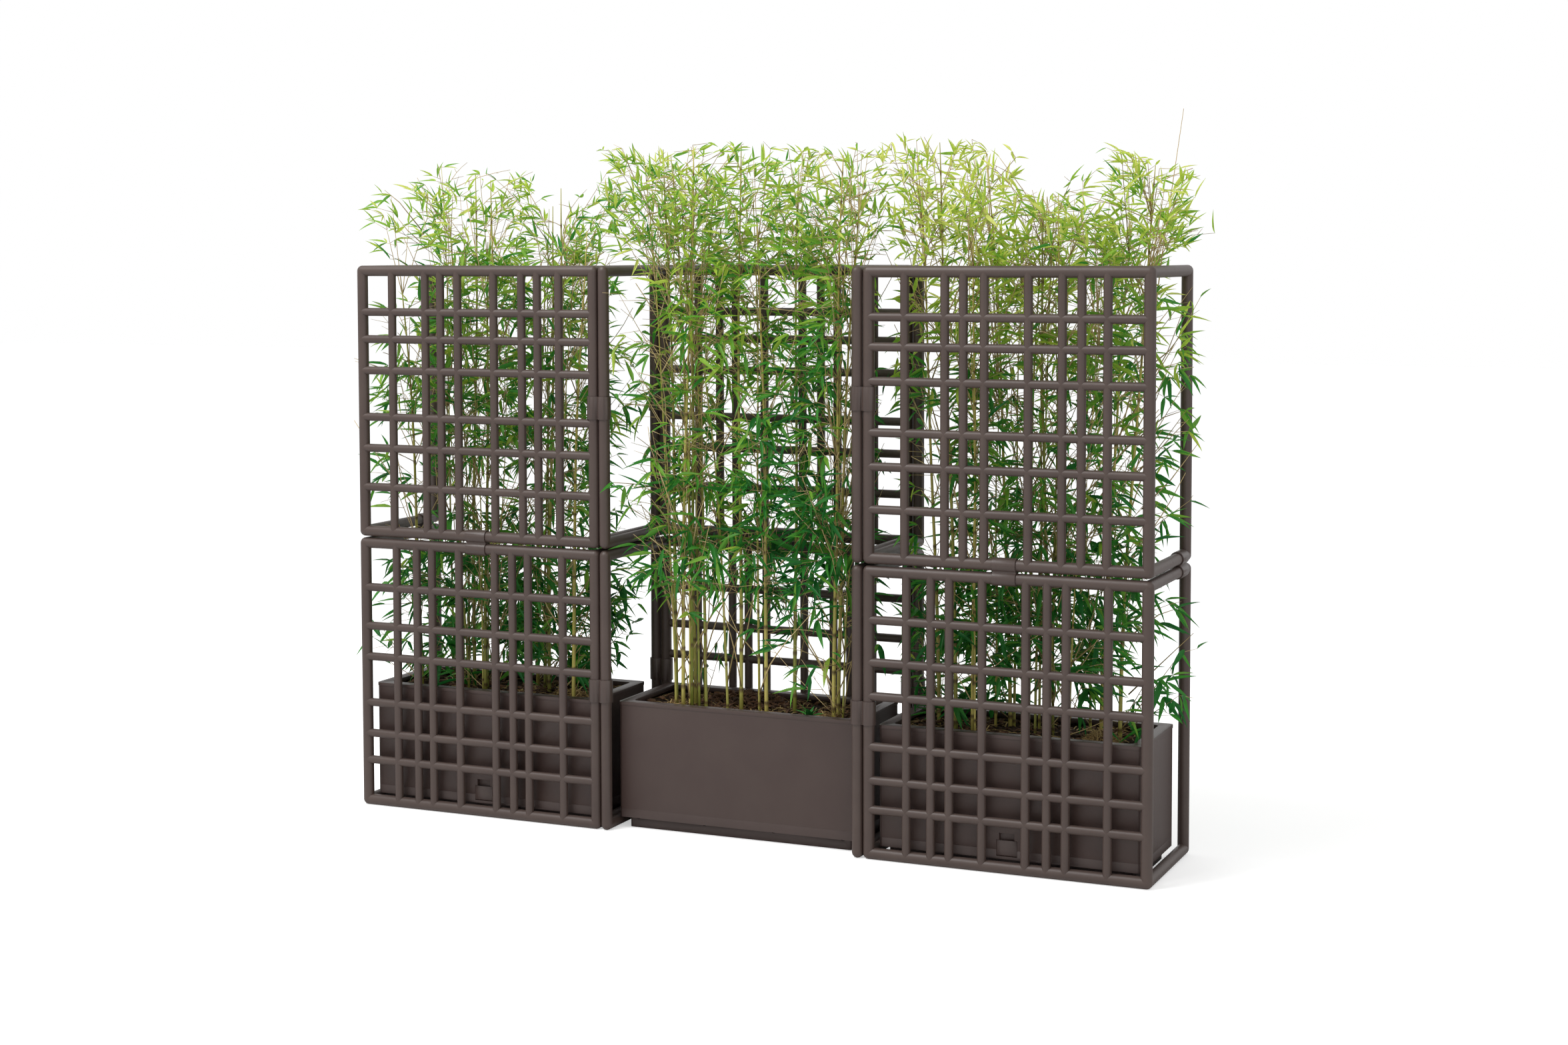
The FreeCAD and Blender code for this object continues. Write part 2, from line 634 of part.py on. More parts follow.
def sprays_of(places, open_side):
    """All the sprays of one planter, each starting at the skin of its own stem."""
    spray = spray_solid()
    radius_low = size("culm_diameter") / 2
    radius_high = size("culm_tip_diameter") / 2
    solids = []
    for own, (x, y, height) in enumerate(places):
        for number in range(SPRAYS):
            share = LOWEST_SPRAY_SHARE + (1 - LOWEST_SPRAY_SHARE) * (number + 0.5) / SPRAYS
            up = share * height
            taper = (up + size("culm_root")) / (height + size("culm_root"))
            radius = radius_low + (radius_high - radius_low) * taper
            droop = SPRAY_DROOPS[number % len(SPRAY_DROOPS)]
            tilt = size("leaf_thickness") / 2 * abs(math.sin(math.radians(droop)))
            for attempt in range(SPRAY_TRIES):
                heading = math.radians(SPRAY_TURN * (number + own) + 360 / SPRAY_TRIES * attempt)
                if not spray_fits(x, y, heading, open_side, places, own):
                    continue
                copy = spray.copy()
                copy.rotate(FreeCAD.Vector(0, 0, 0), FreeCAD.Vector(0, -1, 0), droop)
                copy.translate(FreeCAD.Vector(radius + size("leaf_gap") + tilt, 0, 0))
                copy.rotate(FreeCAD.Vector(0, 0, 0), FreeCAD.Vector(0, 0, 1), math.degrees(heading))
                copy.translate(FreeCAD.Vector(x, y, size("soil_top") + up))
                if not crosses(copy, solids):
                    solids.append(copy)
                    break
    return solids


def made(name, shape):
    """A shape worked out from the named sizes, as an object of the document."""
    thing = doc.addObject("Part::Feature", name)
    thing.Shape = shape
    return thing


# The wall: columns from left to right, with the side that each module leaves open
COLUMNS = (("left", -1, 1), ("middle", 0, -1), ("right", 1, 1))
LEVELS = (("lower", 0), ("upper", 1))
ABOUT_FACE = FreeCAD.Rotation(FreeCAD.Vector(0, 0, 1), 180)
UPSIDE_DOWN = FreeCAD.Rotation(FreeCAD.Vector(0, 1, 0), 180)
UPRIGHT = FreeCAD.Rotation()

panel = lattice_panel()
halves = depth_tubes()
bows = {-1: side_bow(-1), 1: side_bow(1)}
spigots = module_spigots()
plugs = []
for column, step, open_side in COLUMNS:
    for level, storey in LEVELS:
        place = (f"{step} * column_pitch", "0", f"module_height / 2 + {storey} * row_pitch")
        facing = UPRIGHT if open_side > 0 else ABOUT_FACE
        flipped = facing.multiply(UPSIDE_DOWN) if storey == 0 else facing
        subpart(f"lattice_{level}_{column}", [panel], flipped, place)
        subpart(f"depth_tubes_{level}_{column}", [halves], facing, place)
        for side in (-1, 1):
            seen = "left" if side * open_side < 0 else "right"
            subpart(f"side_bow_{level}_{column}_{seen}", [bows[side]], facing, place)
        group = doc.addObject("Part::Compound", f"plugs_{level}_{column}")
        group.Links = [spigots]
        group.Placement.Rotation = facing
        plugs.append(bind(group, at=place))
subpart("tube_spigots", plugs)

for face, side in (("front", -1), ("back", 1)):
    bands = []
    for boundary in (-1, 1):
        for level, storey in LEVELS:
            lift = "raised_clip_lift" if (boundary, storey) == (1, 1) else "-1 * clip_drop"
            middle = (f"{boundary} * column_pitch / 2", f"{side} * half_depth",
                      f"module_height / 2 + {storey} * row_pitch + {lift}")
            bands.append(clip(f"column_clip_{face}_{boundary + 1}_{storey}", "column_span", middle, "z"))
    subpart(f"column_clips_{face}", bands)

bands = []
for column, step, open_side in COLUMNS:
    middle = (f"{step} * column_pitch", f"{-open_side} * half_depth", "row_pitch - row_gap / 2")
    bands.append(clip(f"row_clip_{column}", "row_span", middle, "x"))
subpart("row_clips", bands)
bands = []
for side in (-1, 1):
    middle = (f"{side} * ( column_pitch + half_width )", "end_clip_setback", "row_pitch - row_gap / 2")
    bands.append(clip(f"end_clip_{side + 1}", "row_span", middle, "y"))
subpart("end_clips", bands)

box = planter_box()
tray = base_tray()
lever = catch()
pin = catch_pin()
grid = false_bottom()
overflow = overflow_tube()
filling = moulding("soil_body")
layer(filling, "soil_block",
      [("cavity_width - 2 * soil_play", "cavity_depth - 2 * soil_play", "cavity_radius")],
      "grid_top + soil_play / 2", "soil_top - grid_top - soil_play / 2")
doc.recompute()
for number, (column, step, open_side) in enumerate(COLUMNS):
    facing = UPRIGHT if open_side > 0 else ABOUT_FACE
    place = (f"{step} * column_pitch", f"{-open_side} * planter_shift", "0")
    for name, shape in (("planter_box", box), ("base_tray", tray), ("catch", lever), ("catch_pin", pin),
                        ("false_bottom", grid), ("overflow_tube", overflow)):
        subpart(f"{name}_{column}", [shape], facing, place)
    places = culm_places(number)
    roots = []
    stems = []
    for x, y, height in places:
        hole = Part.makeCylinder(size("culm_diameter") / 2 + size("leaf_gap"), 2 * size("culm_root"))
        hole.translate(FreeCAD.Vector(x, y, size("soil_top") - size("culm_root")))
        roots.append(hole)
        stems.append(culm_solid(x, y, height))
    holes = made(f"stem_holes_{column}", Part.makeCompound(roots))
    subpart(f"soil_{column}", [cut(f"soil_shape_{column}", filling, [holes])], UPRIGHT, place)
    subpart(f"bamboo_stems_{column}", [made(f"stems_{column}", Part.makeCompound(stems))], UPRIGHT, place)
    sprays = Part.makeCompound(sprays_of(places, open_side))
    subpart(f"bamboo_leaves_{column}", [made(f"leaves_{column}", sprays)], UPRIGHT, place)

doc.recompute()
for thing in doc.Objects:
    if "Invalid" in thing.State or "Error" in thing.State:
        raise RuntimeError(f"{thing.Name} failed: {thing.State}")
os.makedirs("parts", exist_ok=True)
for group in SUBPARTS:
    if group.Shape.isNull() or not group.Shape.isValid() or not group.Shape.Solids:
        raise RuntimeError(f"{group.Label} has no valid solid")
for group in SUBPARTS:
    group.Shape.exportStep(f"parts/{group.Label}.step")
print(len(SUBPARTS), "sub-parts")
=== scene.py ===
import json
import math
import random

import bmesh
import bpy
from mathutils import Matrix, Vector, noise


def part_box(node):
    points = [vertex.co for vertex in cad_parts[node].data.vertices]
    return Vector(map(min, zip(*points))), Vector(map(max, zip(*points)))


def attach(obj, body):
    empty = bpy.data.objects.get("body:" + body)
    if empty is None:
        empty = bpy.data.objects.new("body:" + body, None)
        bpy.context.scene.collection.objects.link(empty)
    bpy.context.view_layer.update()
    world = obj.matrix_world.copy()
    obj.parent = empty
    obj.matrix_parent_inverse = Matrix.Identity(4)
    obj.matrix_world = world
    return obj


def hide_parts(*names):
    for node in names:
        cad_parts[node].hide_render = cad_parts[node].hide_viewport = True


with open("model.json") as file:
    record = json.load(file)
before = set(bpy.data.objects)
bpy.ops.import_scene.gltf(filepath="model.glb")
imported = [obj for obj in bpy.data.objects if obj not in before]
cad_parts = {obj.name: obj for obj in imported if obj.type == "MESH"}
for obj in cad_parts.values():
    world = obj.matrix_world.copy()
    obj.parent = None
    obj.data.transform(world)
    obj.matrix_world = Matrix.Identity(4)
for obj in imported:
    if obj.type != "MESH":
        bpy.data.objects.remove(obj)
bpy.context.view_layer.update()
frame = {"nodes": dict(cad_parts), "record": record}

COLUMNS = ("left", "middle", "right")
# The side of each column that has no lattice: 1 at the wall's back, -1 at its front
OPEN_SIDE = {"left": 1, "middle": -1, "right": 1}


def add_object(name, data):
    """A new object, linked into the scene."""
    thing = bpy.data.objects.new(name, data)
    bpy.context.scene.collection.objects.link(thing)
    return thing


# Materials

# Where the mix node has its factor and two colours, and where it gives the mixed colour
MIX_INPUTS = (0, 6, 7)
MIX_OUTPUT = 2


def srgb(red, green, blue):
    """A display colour, 0 to 255, as the linear colour that shaders use."""
    linear = []
    for value in (red, green, blue):
        share = value / 255
        linear.append(share / 12.92 if share <= 0.04045 else ((share + 0.055) / 1.055) ** 2.4)
    return (*linear, 1.0)


class Finish:
    """A node material with short ways to add the textures that its surface needs."""

    def __init__(self, name, roughness, specular=0.5):
        self.material = bpy.data.materials.new(name)
        self.material.use_nodes = True
        self.tree = self.material.node_tree
        self.shader = self.tree.nodes["Principled BSDF"]
        self.shader.inputs["Roughness"].default_value = roughness
        self.shader.inputs["Specular IOR Level"].default_value = specular
        self.place = self.tree.nodes.new("ShaderNodeTexCoord").outputs["Object"]

    def feed(self, socket, value):
        """Joins an input to another node's output, or gives it a plain value."""
        if isinstance(value, bpy.types.NodeSocket):
            self.tree.links.new(value, socket)
        else:
            socket.default_value = value

    def add(self, kind, **inputs):
        node = self.tree.nodes.new(kind)
        for name, value in inputs.items():
            self.feed(node.inputs[name.replace("_", " ")], value)
        return node

    def own(self, name):
        """A number that each small piece carries with it."""
        node = self.add("ShaderNodeAttribute")
        node.attribute_name = name
        return node.outputs["Fac"]

    def noise(self, scale, detail=3.0, roughness=0.55, stretch=None):
        place = self.place
        if stretch:
            place = self.add("ShaderNodeMapping", Vector=place, Scale=stretch).outputs["Vector"]
        return self.add("ShaderNodeTexNoise", Vector=place, Scale=scale, Detail=detail,
                        Roughness=roughness).outputs["Fac"]

    def ramp(self, factor, stops):
        node = self.add("ShaderNodeValToRGB", Fac=factor)
        while len(node.color_ramp.elements) < len(stops):
            node.color_ramp.elements.new(0.5)
        for element, (at, colour) in zip(node.color_ramp.elements, stops):
            element.position = at
            element.color = colour
        return node.outputs["Color"]

    def mix(self, factor, first, second):
        node = self.add("ShaderNodeMix")
        node.data_type = "RGBA"
        for index, value in zip(MIX_INPUTS, (factor, first, second)):
            self.feed(node.inputs[index], value)
        return node.outputs[MIX_OUTPUT]

    def range(self, value, low, high, new_low, new_high):
        return self.add("ShaderNodeMapRange", Value=value, From_Min=low, From_Max=high,
                        To_Min=new_low, To_Max=new_high).outputs["Result"]

    def colour(self, socket):
        self.tree.links.new(socket, self.shader.inputs["Base Color"])
        return self

    def rough(self, socket):
        self.tree.links.new(socket, self.shader.inputs["Roughness"])
        return self

    def bump(self, *layers):
        """Each layer is a height and how far it stands out in metres."""
        normal = None
        for height, distance in layers:
            node = self.add("ShaderNodeBump", Height=height, Distance=distance, Strength=1.0)
            if normal is not None:
                self.tree.links.new(normal, node.inputs["Normal"])
            normal = node.outputs["Normal"]
        self.tree.links.new(normal, self.shader.inputs["Normal"])
        return self


# How much lighter the dust on the grain is, and how far roughness strays from its mean
DUST_LIFT = 24
ROUGHNESS_PLAY = 0.07


def moulded_plastic(name, base, worn, roughness):
    """Matt plastic with a fine moulded grain, faint flow marks and dust on its raised grain."""
    finish = Finish(name, roughness)
    clouds = finish.noise(7.0, 4.0)
    flow = finish.noise(26.0, 3.0, 0.6, (1.0, 1.0, 0.35))
    grain = finish.noise(900.0, 2.0, 0.6)
    tone = finish.ramp(clouds, [(0.3, srgb(*base)), (0.72, srgb(*worn))])
    tone = finish.mix(finish.range(flow, 0.55, 0.8, 0.0, 0.22), tone, srgb(*worn))
    dusty = srgb(*[value + DUST_LIFT for value in worn])
    tone = finish.mix(finish.range(grain, 0.62, 0.85, 0.0, 0.35), tone, dusty)
    finish.colour(tone)
    finish.rough(finish.range(grain, 0.3, 0.7, roughness - ROUGHNESS_PLAY, roughness + ROUGHNESS_PLAY))
    return finish.bump((grain, 0.00022), (flow, 0.0006)).material


def loose_soil():
    finish = Finish("soil", 0.92, 0.2)
    crumbs = finish.noise(240.0, 5.0, 0.7)
    clods = finish.noise(38.0, 4.0, 0.6)
    tone = finish.ramp(crumbs, [
        (0.3, srgb(24, 18, 14)),
        (0.55, srgb(52, 38, 28)),
        (0.75, srgb(96, 72, 50)),
    ])
    return finish.colour(tone).bump((clods, 0.004), (crumbs, 0.0016)).material


# The darkest fibres against the low tone
FIBRE_SHADE = 0.7


def tinted(name, low, high, roughness):
    """A fibrous material whose colour runs between two tones by each small piece's own tint."""
    finish = Finish(name, roughness, 0.35)
    tint = finish.own("tint")
    fibre = finish.noise(160.0, 2.0, 0.5, (1.0, 1.0, 0.25))
    tone = finish.mix(tint, srgb(*low), srgb(*high))
    shaded = srgb(*[value * FIBRE_SHADE for value in low])
    tone = finish.mix(finish.range(fibre, 0.35, 0.75, 0.0, 0.3), tone, shaded)
    return finish.colour(tone).bump((fibre, 0.0005)).material


# The share of light that a leaf lets through
LEAF_LIGHT_THROUGH = 0.42


def leaf_surface():
    """Bamboo leaf: dark green low in the clump, yellow-green at its top, lit through from behind."""
    finish = Finish("bamboo_leaf", 0.48, 0.35)
    ramp = finish.ramp(finish.own("tint"), [
        (0.0, srgb(34, 116, 50)),
        (0.3, srgb(72, 156, 58)),
        (0.58, srgb(142, 192, 66)),
        (0.82, srgb(202, 224, 88)),
        (1.0, srgb(228, 234, 126)),
    ])
    patches = finish.noise(46.0, 3.0)
    tone = finish.mix(finish.range(patches, 0.45, 0.75, 0.0, 0.3), ramp, srgb(64, 128, 44))
    finish.colour(tone)
    through = finish.add("ShaderNodeBsdfTranslucent", Color=tone)
    blend = finish.add("ShaderNodeMixShader", Fac=LEAF_LIGHT_THROUGH)
    out = finish.tree.nodes["Material Output"]
    finish.tree.links.new(finish.shader.outputs["BSDF"], blend.inputs[1])
    finish.tree.links.new(through.outputs["BSDF"], blend.inputs[2])
    finish.tree.links.new(blend.outputs["Shader"], out.inputs["Surface"])
    veins = finish.noise(420.0, 1.0, 0.4, (1.0, 1.0, 0.3))
    return finish.bump((veins, 0.0003)).material


def culm_surface():
    """Bamboo stem: olive to straw yellow between its joints, with greener streaks and brown rings."""
    finish = Finish("bamboo_stem", 0.42, 0.4)
    tint = finish.own("tint")
    ring = finish.own("ring")
    streak = finish.noise(90.0, 3.0, 0.5, (1.0, 1.0, 0.06))
    tone = finish.mix(tint, srgb(134, 142, 58), srgb(208, 192, 106))
    tone = finish.mix(finish.range(streak, 0.4, 0.75, 0.0, 0.5), tone, srgb(112, 116, 52))
    tone = finish.mix(ring, tone, srgb(98, 78, 44))
    return finish.colour(tone).bump((streak, 0.0004)).material


def steel_pin():
    finish = Finish("pin_steel", 0.3)
    finish.shader.inputs["Metallic"].default_value = 1.0
    drawn = finish.noise(300.0, 2.0, 0.5, (0.05, 1.0, 1.0))
    tone = finish.ramp(drawn, [(0.3, srgb(150, 150, 152)), (0.7, srgb(196, 196, 198))])
    return finish.colour(tone).material


FRAME_PLASTIC = moulded_plastic("frame_plastic", (70, 56, 51), (79, 65, 59), 0.47)
CLIP_PLASTIC = moulded_plastic("clip_plastic", (66, 53, 48), (75, 61, 56), 0.42)
PLANTER_PLASTIC = moulded_plastic("planter_plastic", (66, 50, 46), (71, 56, 51), 0.45)
TRAY_PLASTIC = moulded_plastic("tray_plastic", (64, 50, 46), (70, 56, 52), 0.5)
CATCH_PLASTIC = moulded_plastic("catch_plastic", (66, 52, 48), (72, 58, 53), 0.4)
INNER_PLASTIC = moulded_plastic("inner_plastic", (48, 46, 45), (58, 56, 54), 0.6)
SOIL = loose_soil()
STRAW = tinted("straw", (128, 100, 58), (206, 178, 122), 0.7)
BARK = tinted("bark", (52, 36, 26), (118, 84, 58), 0.85)
WEED = tinted("weed", (34, 116, 50), (92, 172, 76), 0.5)
LEAF = leaf_surface()
CULM = culm_surface()
TWIG = tinted("twig", (152, 132, 84), (220, 194, 144), 0.6)
PIN_STEEL = steel_pin()
# The first row whose words begin a node's name gives its material
NODE_MATERIALS = (
    (("lattice", "depth_tubes", "side_bow"), FRAME_PLASTIC),
    (("column_clips", "row_clips", "end_clips"), CLIP_PLASTIC),
    (("tube_spigots", "false_bottom", "overflow_tube"), INNER_PLASTIC),
    (("planter_box",), PLANTER_PLASTIC),
    (("base_tray",), TRAY_PLASTIC),
    (("catch_pin",), PIN_STEEL),
    (("catch",), CATCH_PLASTIC),
    (("soil",), SOIL),
    (("bamboo_stems",), CULM),
    (("bamboo_leaves",), LEAF),
)


def body_of(node):
    for body, members in frame["record"]["behaviour"]["bodies"].items():
        if node in members:
            return body
    raise ValueError(node)


def paint(thing, material):
    thing.data.materials.clear()
    thing.data.materials.append(material)


def paint_nodes():
    """Gives each CAD node the material of its kind."""
    for node, thing in frame["nodes"].items():
        for prefixes, material in NODE_MATERIALS:
            if node.startswith(prefixes):
                paint(thing, material)
                break


# Moulded pieces: the CAD shape with the small edge radii that moulding gives

# The edge radii
BOX_EDGE, BOX_EDGE_SEGMENTS = 0.0016, 3
TRAY_EDGE = 0.001
CATCH_EDGE = 0.0008
CLIP_EDGE = 0.0009
MERGE_DISTANCE = 0.00001
# Faces nearer to level than this become one; edges sharper than these are rounded, or stay sharp
FLAT_ANGLE = math.radians(1)
ROUNDED_ANGLE = math.radians(40)
SHARP_ANGLE = math.radians(32)


def rounded_copy(node, name, edge, segments=2):
    """A merged copy of a CAD node with its sharp edges rounded; it stands for the node."""
    source = frame["nodes"][node]
    mesh = source.data.copy()
    work = bmesh.new()
    work.from_mesh(mesh)
    bmesh.ops.remove_doubles(work, verts=work.verts, dist=MERGE_DISTANCE)
    bmesh.ops.dissolve_limit(work, angle_limit=FLAT_ANGLE, verts=work.verts, edges=work.edges)
    work.to_mesh(mesh)
    work.free()
    piece = add_object(name, mesh)
    rounding = piece.modifiers.new("edge_radius", "BEVEL")
    rounding.width = edge
    rounding.segments = segments
    rounding.limit_method = "ANGLE"
    rounding.angle_limit = ROUNDED_ANGLE
    rounding.use_clamp_overlap = True
    rounding.harden_normals = True
    piece = baked(piece)
    for polygon in piece.data.polygons:
        polygon.use_smooth = True
    piece.data.set_sharp_from_angle(angle=SHARP_ANGLE)
    paint(piece, source.data.materials[0])
    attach(piece, body_of(node))
    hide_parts(node)


def baked(thing):
    """The object with its modifiers turned into plain mesh."""
    graph = bpy.context.evaluated_depsgraph_get()
    mesh = bpy.data.meshes.new_from_object(thing.evaluated_get(graph))
    thing.modifiers.clear()
    thing.data = mesh
    return thing


# Repeated small pieces: one node tree sets a shape on every point, turned and sized by the point

SCATTER_INPUTS = (
    ("Points", "NodeSocketGeometry"),
    ("Shape", "NodeSocketObject"),
    ("Material", "NodeSocketMaterial"),
    ("Overall size", "NodeSocketFloat"),
)
SCATTER_NODES = (
    ("in", "NodeGroupInput"),
    ("out", "NodeGroupOutput"),
    ("shape", "GeometryNodeObjectInfo"),
    ("turn", "GeometryNodeInputNamedAttribute"),
    ("size", "GeometryNodeInputNamedAttribute"),
    ("scale", "ShaderNodeVectorMath"),
    ("set", "GeometryNodeInstanceOnPoints"),
    ("points", "GeometryNodeMeshToPoints"),
    ("real", "GeometryNodeRealizeInstances"),
    ("paint", "GeometryNodeSetMaterial"),
)


def scatter_tree():
    tree = bpy.data.node_groups.new("set_on_points", "GeometryNodeTree")
    for name, kind in SCATTER_INPUTS:
        tree.interface.new_socket(name, in_out="INPUT", socket_type=kind)
    tree.interface.new_socket("Pieces", in_out="OUTPUT", socket_type="NodeSocketGeometry")
    nodes = {key: tree.nodes.new(kind) for key, kind in SCATTER_NODES}
    for key in ("turn", "size"):
        nodes[key].data_type = "FLOAT_VECTOR"
        nodes[key].inputs["Name"].default_value = key
    nodes["scale"].operation = "SCALE"
    link = tree.links.new
    link(nodes["in"].outputs["Points"], nodes["points"].inputs["Mesh"])
    link(nodes["points"].outputs["Points"], nodes["set"].inputs["Points"])
    link(nodes["in"].outputs["Shape"], nodes["shape"].inputs["Object"])
    link(nodes["shape"].outputs["Geometry"], nodes["set"].inputs["Instance"])
    link(nodes["turn"].outputs["Attribute"], nodes["set"].inputs["Rotation"])
    link(nodes["size"].outputs["Attribute"], nodes["scale"].inputs[0])
    link(nodes["in"].outputs["Overall size"], nodes["scale"].inputs["Scale"])
    link(nodes["scale"].outputs["Vector"], nodes["set"].inputs["Scale"])
    link(nodes["set"].outputs["Instances"], nodes["real"].inputs["Geometry"])
    link(nodes["real"].outputs["Geometry"], nodes["paint"].inputs["Geometry"])
    link(nodes["in"].outputs["Material"], nodes["paint"].inputs["Material"])
    link(nodes["paint"].outputs["Geometry"], nodes["out"].inputs["Pieces"])
    return tree


SCATTER = scatter_tree()


def scattered(name, shape, material, points):
    """One mesh with a shape at each point; a point is its place, turn, size and tint."""
    places, turns, sizes, tints = zip(*points)
    mesh = bpy.data.meshes.new(name)
    mesh.from_pydata([tuple(place) for place in places], [], [])
    for key, vectors in (("turn", turns), ("size", sizes)):
        values = [number for vector in vectors for number in vector]
        mesh.attributes.new(key, "FLOAT_VECTOR", "POINT").data.foreach_set("vector", values)
    mesh.attributes.new("tint", "FLOAT", "POINT").data.foreach_set("value", tints)
    thing = add_object(name, mesh)
    modifier = thing.modifiers.new("set_on_points", "NODES")
    modifier.node_group = SCATTER
    values = {"Shape": shape, "Material": material, "Overall size": 1.0}
    for item in SCATTER.interface.items_tree:
        if item.in_out == "INPUT" and item.name in values:
            modifier[item.identifier] = values[item.name]
    return baked(thing)


def mould_object(name, vertices, faces, smooth=True):
    """A mesh object kept out of the scene, to be set on points."""
    mesh = bpy.data.meshes.new(name)
    mesh.from_pydata(vertices, [], faces)
    for polygon in mesh.polygons:
        polygon.use_smooth = smooth
    return bpy.data.objects.new(name, mesh)


# Along a leaf of length 1: its width
LEAF_OUTLINE = ((0.0, 0.1), (0.1, 0.62), (0.28, 1.0), (0.55, 0.82), (0.8, 0.42), (1.0, 0.02))
LEAF_SAG = 0.16
LEAF_FOLD = 0.22


def leaf_shape():
    """One unit-long narrow leaf along +X: pointed, folded along its midrib, drooping to its tip."""
    vertices = []
    for at, wide in LEAF_OUTLINE:
        rib = -LEAF_SAG * at ** 2
        half = 0.5 * wide
        edge = rib + LEAF_FOLD * half
        vertices += [(at, -half, edge), (at, 0, rib), (at, half, edge)]
    faces = []
    for step in range(len(LEAF_OUTLINE) - 1):
        for side in (0, 1):
            first = 3 * step + side
            faces.append((first, first + 3, first + 4, first + 1))
    return mould_object("leaf_shape", vertices, faces)


def sliver_shape(name, lift):
    """A short flat strip with a bend, for straw and bark: four cross sections of four corners."""
    vertices = []
    for at, height in ((-0.5, 0.0), (-0.1, lift), (0.25, lift * 0.7), (0.5, 0.0)):
        for side in (-0.5, 0.5):
            for top in (0, 1):
                vertices.append((at, side, height + 0.5 * top))
    faces = []
    for a in (0, 4, 8):
        faces += [(a, a + 2, a + 6, a + 4), (a + 1, a + 5, a + 7, a + 3),
                  (a, a + 4, a + 5, a + 1), (a + 2, a + 3, a + 7, a + 6)]
    faces += [(0, 1, 3, 2), (12, 14, 15, 13)]
    return mould_object(name, vertices, faces, False)


LEAF_SHAPE = leaf_shape()
STRAW_SHAPE = sliver_shape("straw_shape", 1.2)
BARK_SHAPE = sliver_shape("bark_shape", 0.6)


# Soil

SOIL_COLUMNS, SOIL_ROWS = 150, 70
SOIL_INSET = 0.0005
SOIL_SUNK = 0.004
# How many to the metre, and how high
BUMPS, BUMP_HEIGHT = 24, 0.007
CLODS, CLOD_HEIGHT = 70, 0.006


def soil_top(column):
    """Potting soil with a crumbly top, in the block that the CAD soil holds."""
    node = f"soil_{column}"
    low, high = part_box(node)
    columns, rows = SOIL_COLUMNS, SOIL_ROWS
    seed = Vector((COLUMNS.index(column) * 3.7, 1.3, 0.2))
    vertices = []
    for j in range(rows + 1):
        for i in range(columns + 1):
            x = low.x + SOIL_INSET + (high.x - low.x - 2 * SOIL_INSET) * i / columns
            y = low.y + SOIL_INSET + (high.y - low.y - 2 * SOIL_INSET) * j / rows
            bumps = noise.fractal(Vector((x, y, 0)) * BUMPS + seed, 0.8, 2.1, 5) * BUMP_HEIGHT
            clods = abs(noise.noise(Vector((x, y, 0)) * CLODS + seed)) * CLOD_HEIGHT
            vertices.append((x, y, high.z - SOIL_SUNK + bumps + clods))
    width = columns + 1
    faces = [(j * width + i, j * width + i + 1, (j + 1) * width + i + 1, (j + 1) * width + i)
             for j in range(rows) for i in range(columns)]
    front = list(range(width))
    right = [j * width + columns for j in range(1, rows + 1)]
    back = [rows * width + i for i in range(columns - 1, -1, -1)]
    left = [j * width for j in range(rows - 1, 0, -1)]
    rim = front + right + back + left
    base = len(vertices)
    vertices += [(vertices[k][0], vertices[k][1], low.z) for k in rim]
    count = len(rim)
    for k in range(count):
        following = (k + 1) % count
        faces.append((rim[following], rim[k], base + k, base + following))
    faces.append(tuple(base + k for k in range(count))[::-1])
    mesh = bpy.data.meshes.new(f"soil_bed_{column}")
    mesh.from_pydata(vertices, [], faces)
    bed = add_object(f"soil_bed_{column}", mesh)
    for polygon in mesh.polygons:
        polygon.use_smooth = len(polygon.vertices) == 4
    mesh.materials.append(SOIL)
    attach(bed, f"planter_{column}")
    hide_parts(node)


# Loose pieces on every planter's soil: kind, shape, material, count, length and width
LITTER = (
    ("straw", STRAW_SHAPE, STRAW, 420, 0.038, 0.0028),
    ("bark", BARK_SHAPE, BARK, 380, 0.022, 0.009),
)
# Along each planter from its left end: where the loose pieces lie closer
THICK_PLACES = {"left": (0.62, 0.9), "middle": (0.2, 0.36, 0.62, 0.84), "right": (0.3, 0.82)}
THICK_SHARE = 0.6
THICK_SPREAD = 0.035
LITTER_MARGIN = 0.034
# Mounds: name, planter, centre, radius, rise, shape, material, count, length and width
MOUNDS = (
    ("straw_tuft_one", "middle", (-0.235, -0.09), 0.04, 0.03, STRAW_SHAPE, STRAW, 90, 0.035, 0.002),
    ("straw_tuft_two", "middle", (0.275, -0.09), 0.045, 0.025, STRAW_SHAPE, STRAW, 80, 0.035, 0.002),
    ("bark_mound", "middle", (-0.07, 0.07), 0.13, 0.03, BARK_SHAPE, BARK, 420, 0.026, 0.008),
    ("root_ball", "right", (1.12, -0.075), 0.055, 0.04, STRAW_SHAPE, STRAW, 260, 0.03, 0.0018),
    ("straw_tuft_left", "left", (-0.62, -0.07), 0.06, 0.03, STRAW_SHAPE, STRAW, 150, 0.035, 0.002),
)
MOUND_MARGIN_X, MOUND_MARGIN_Y = 0.04, 0.036


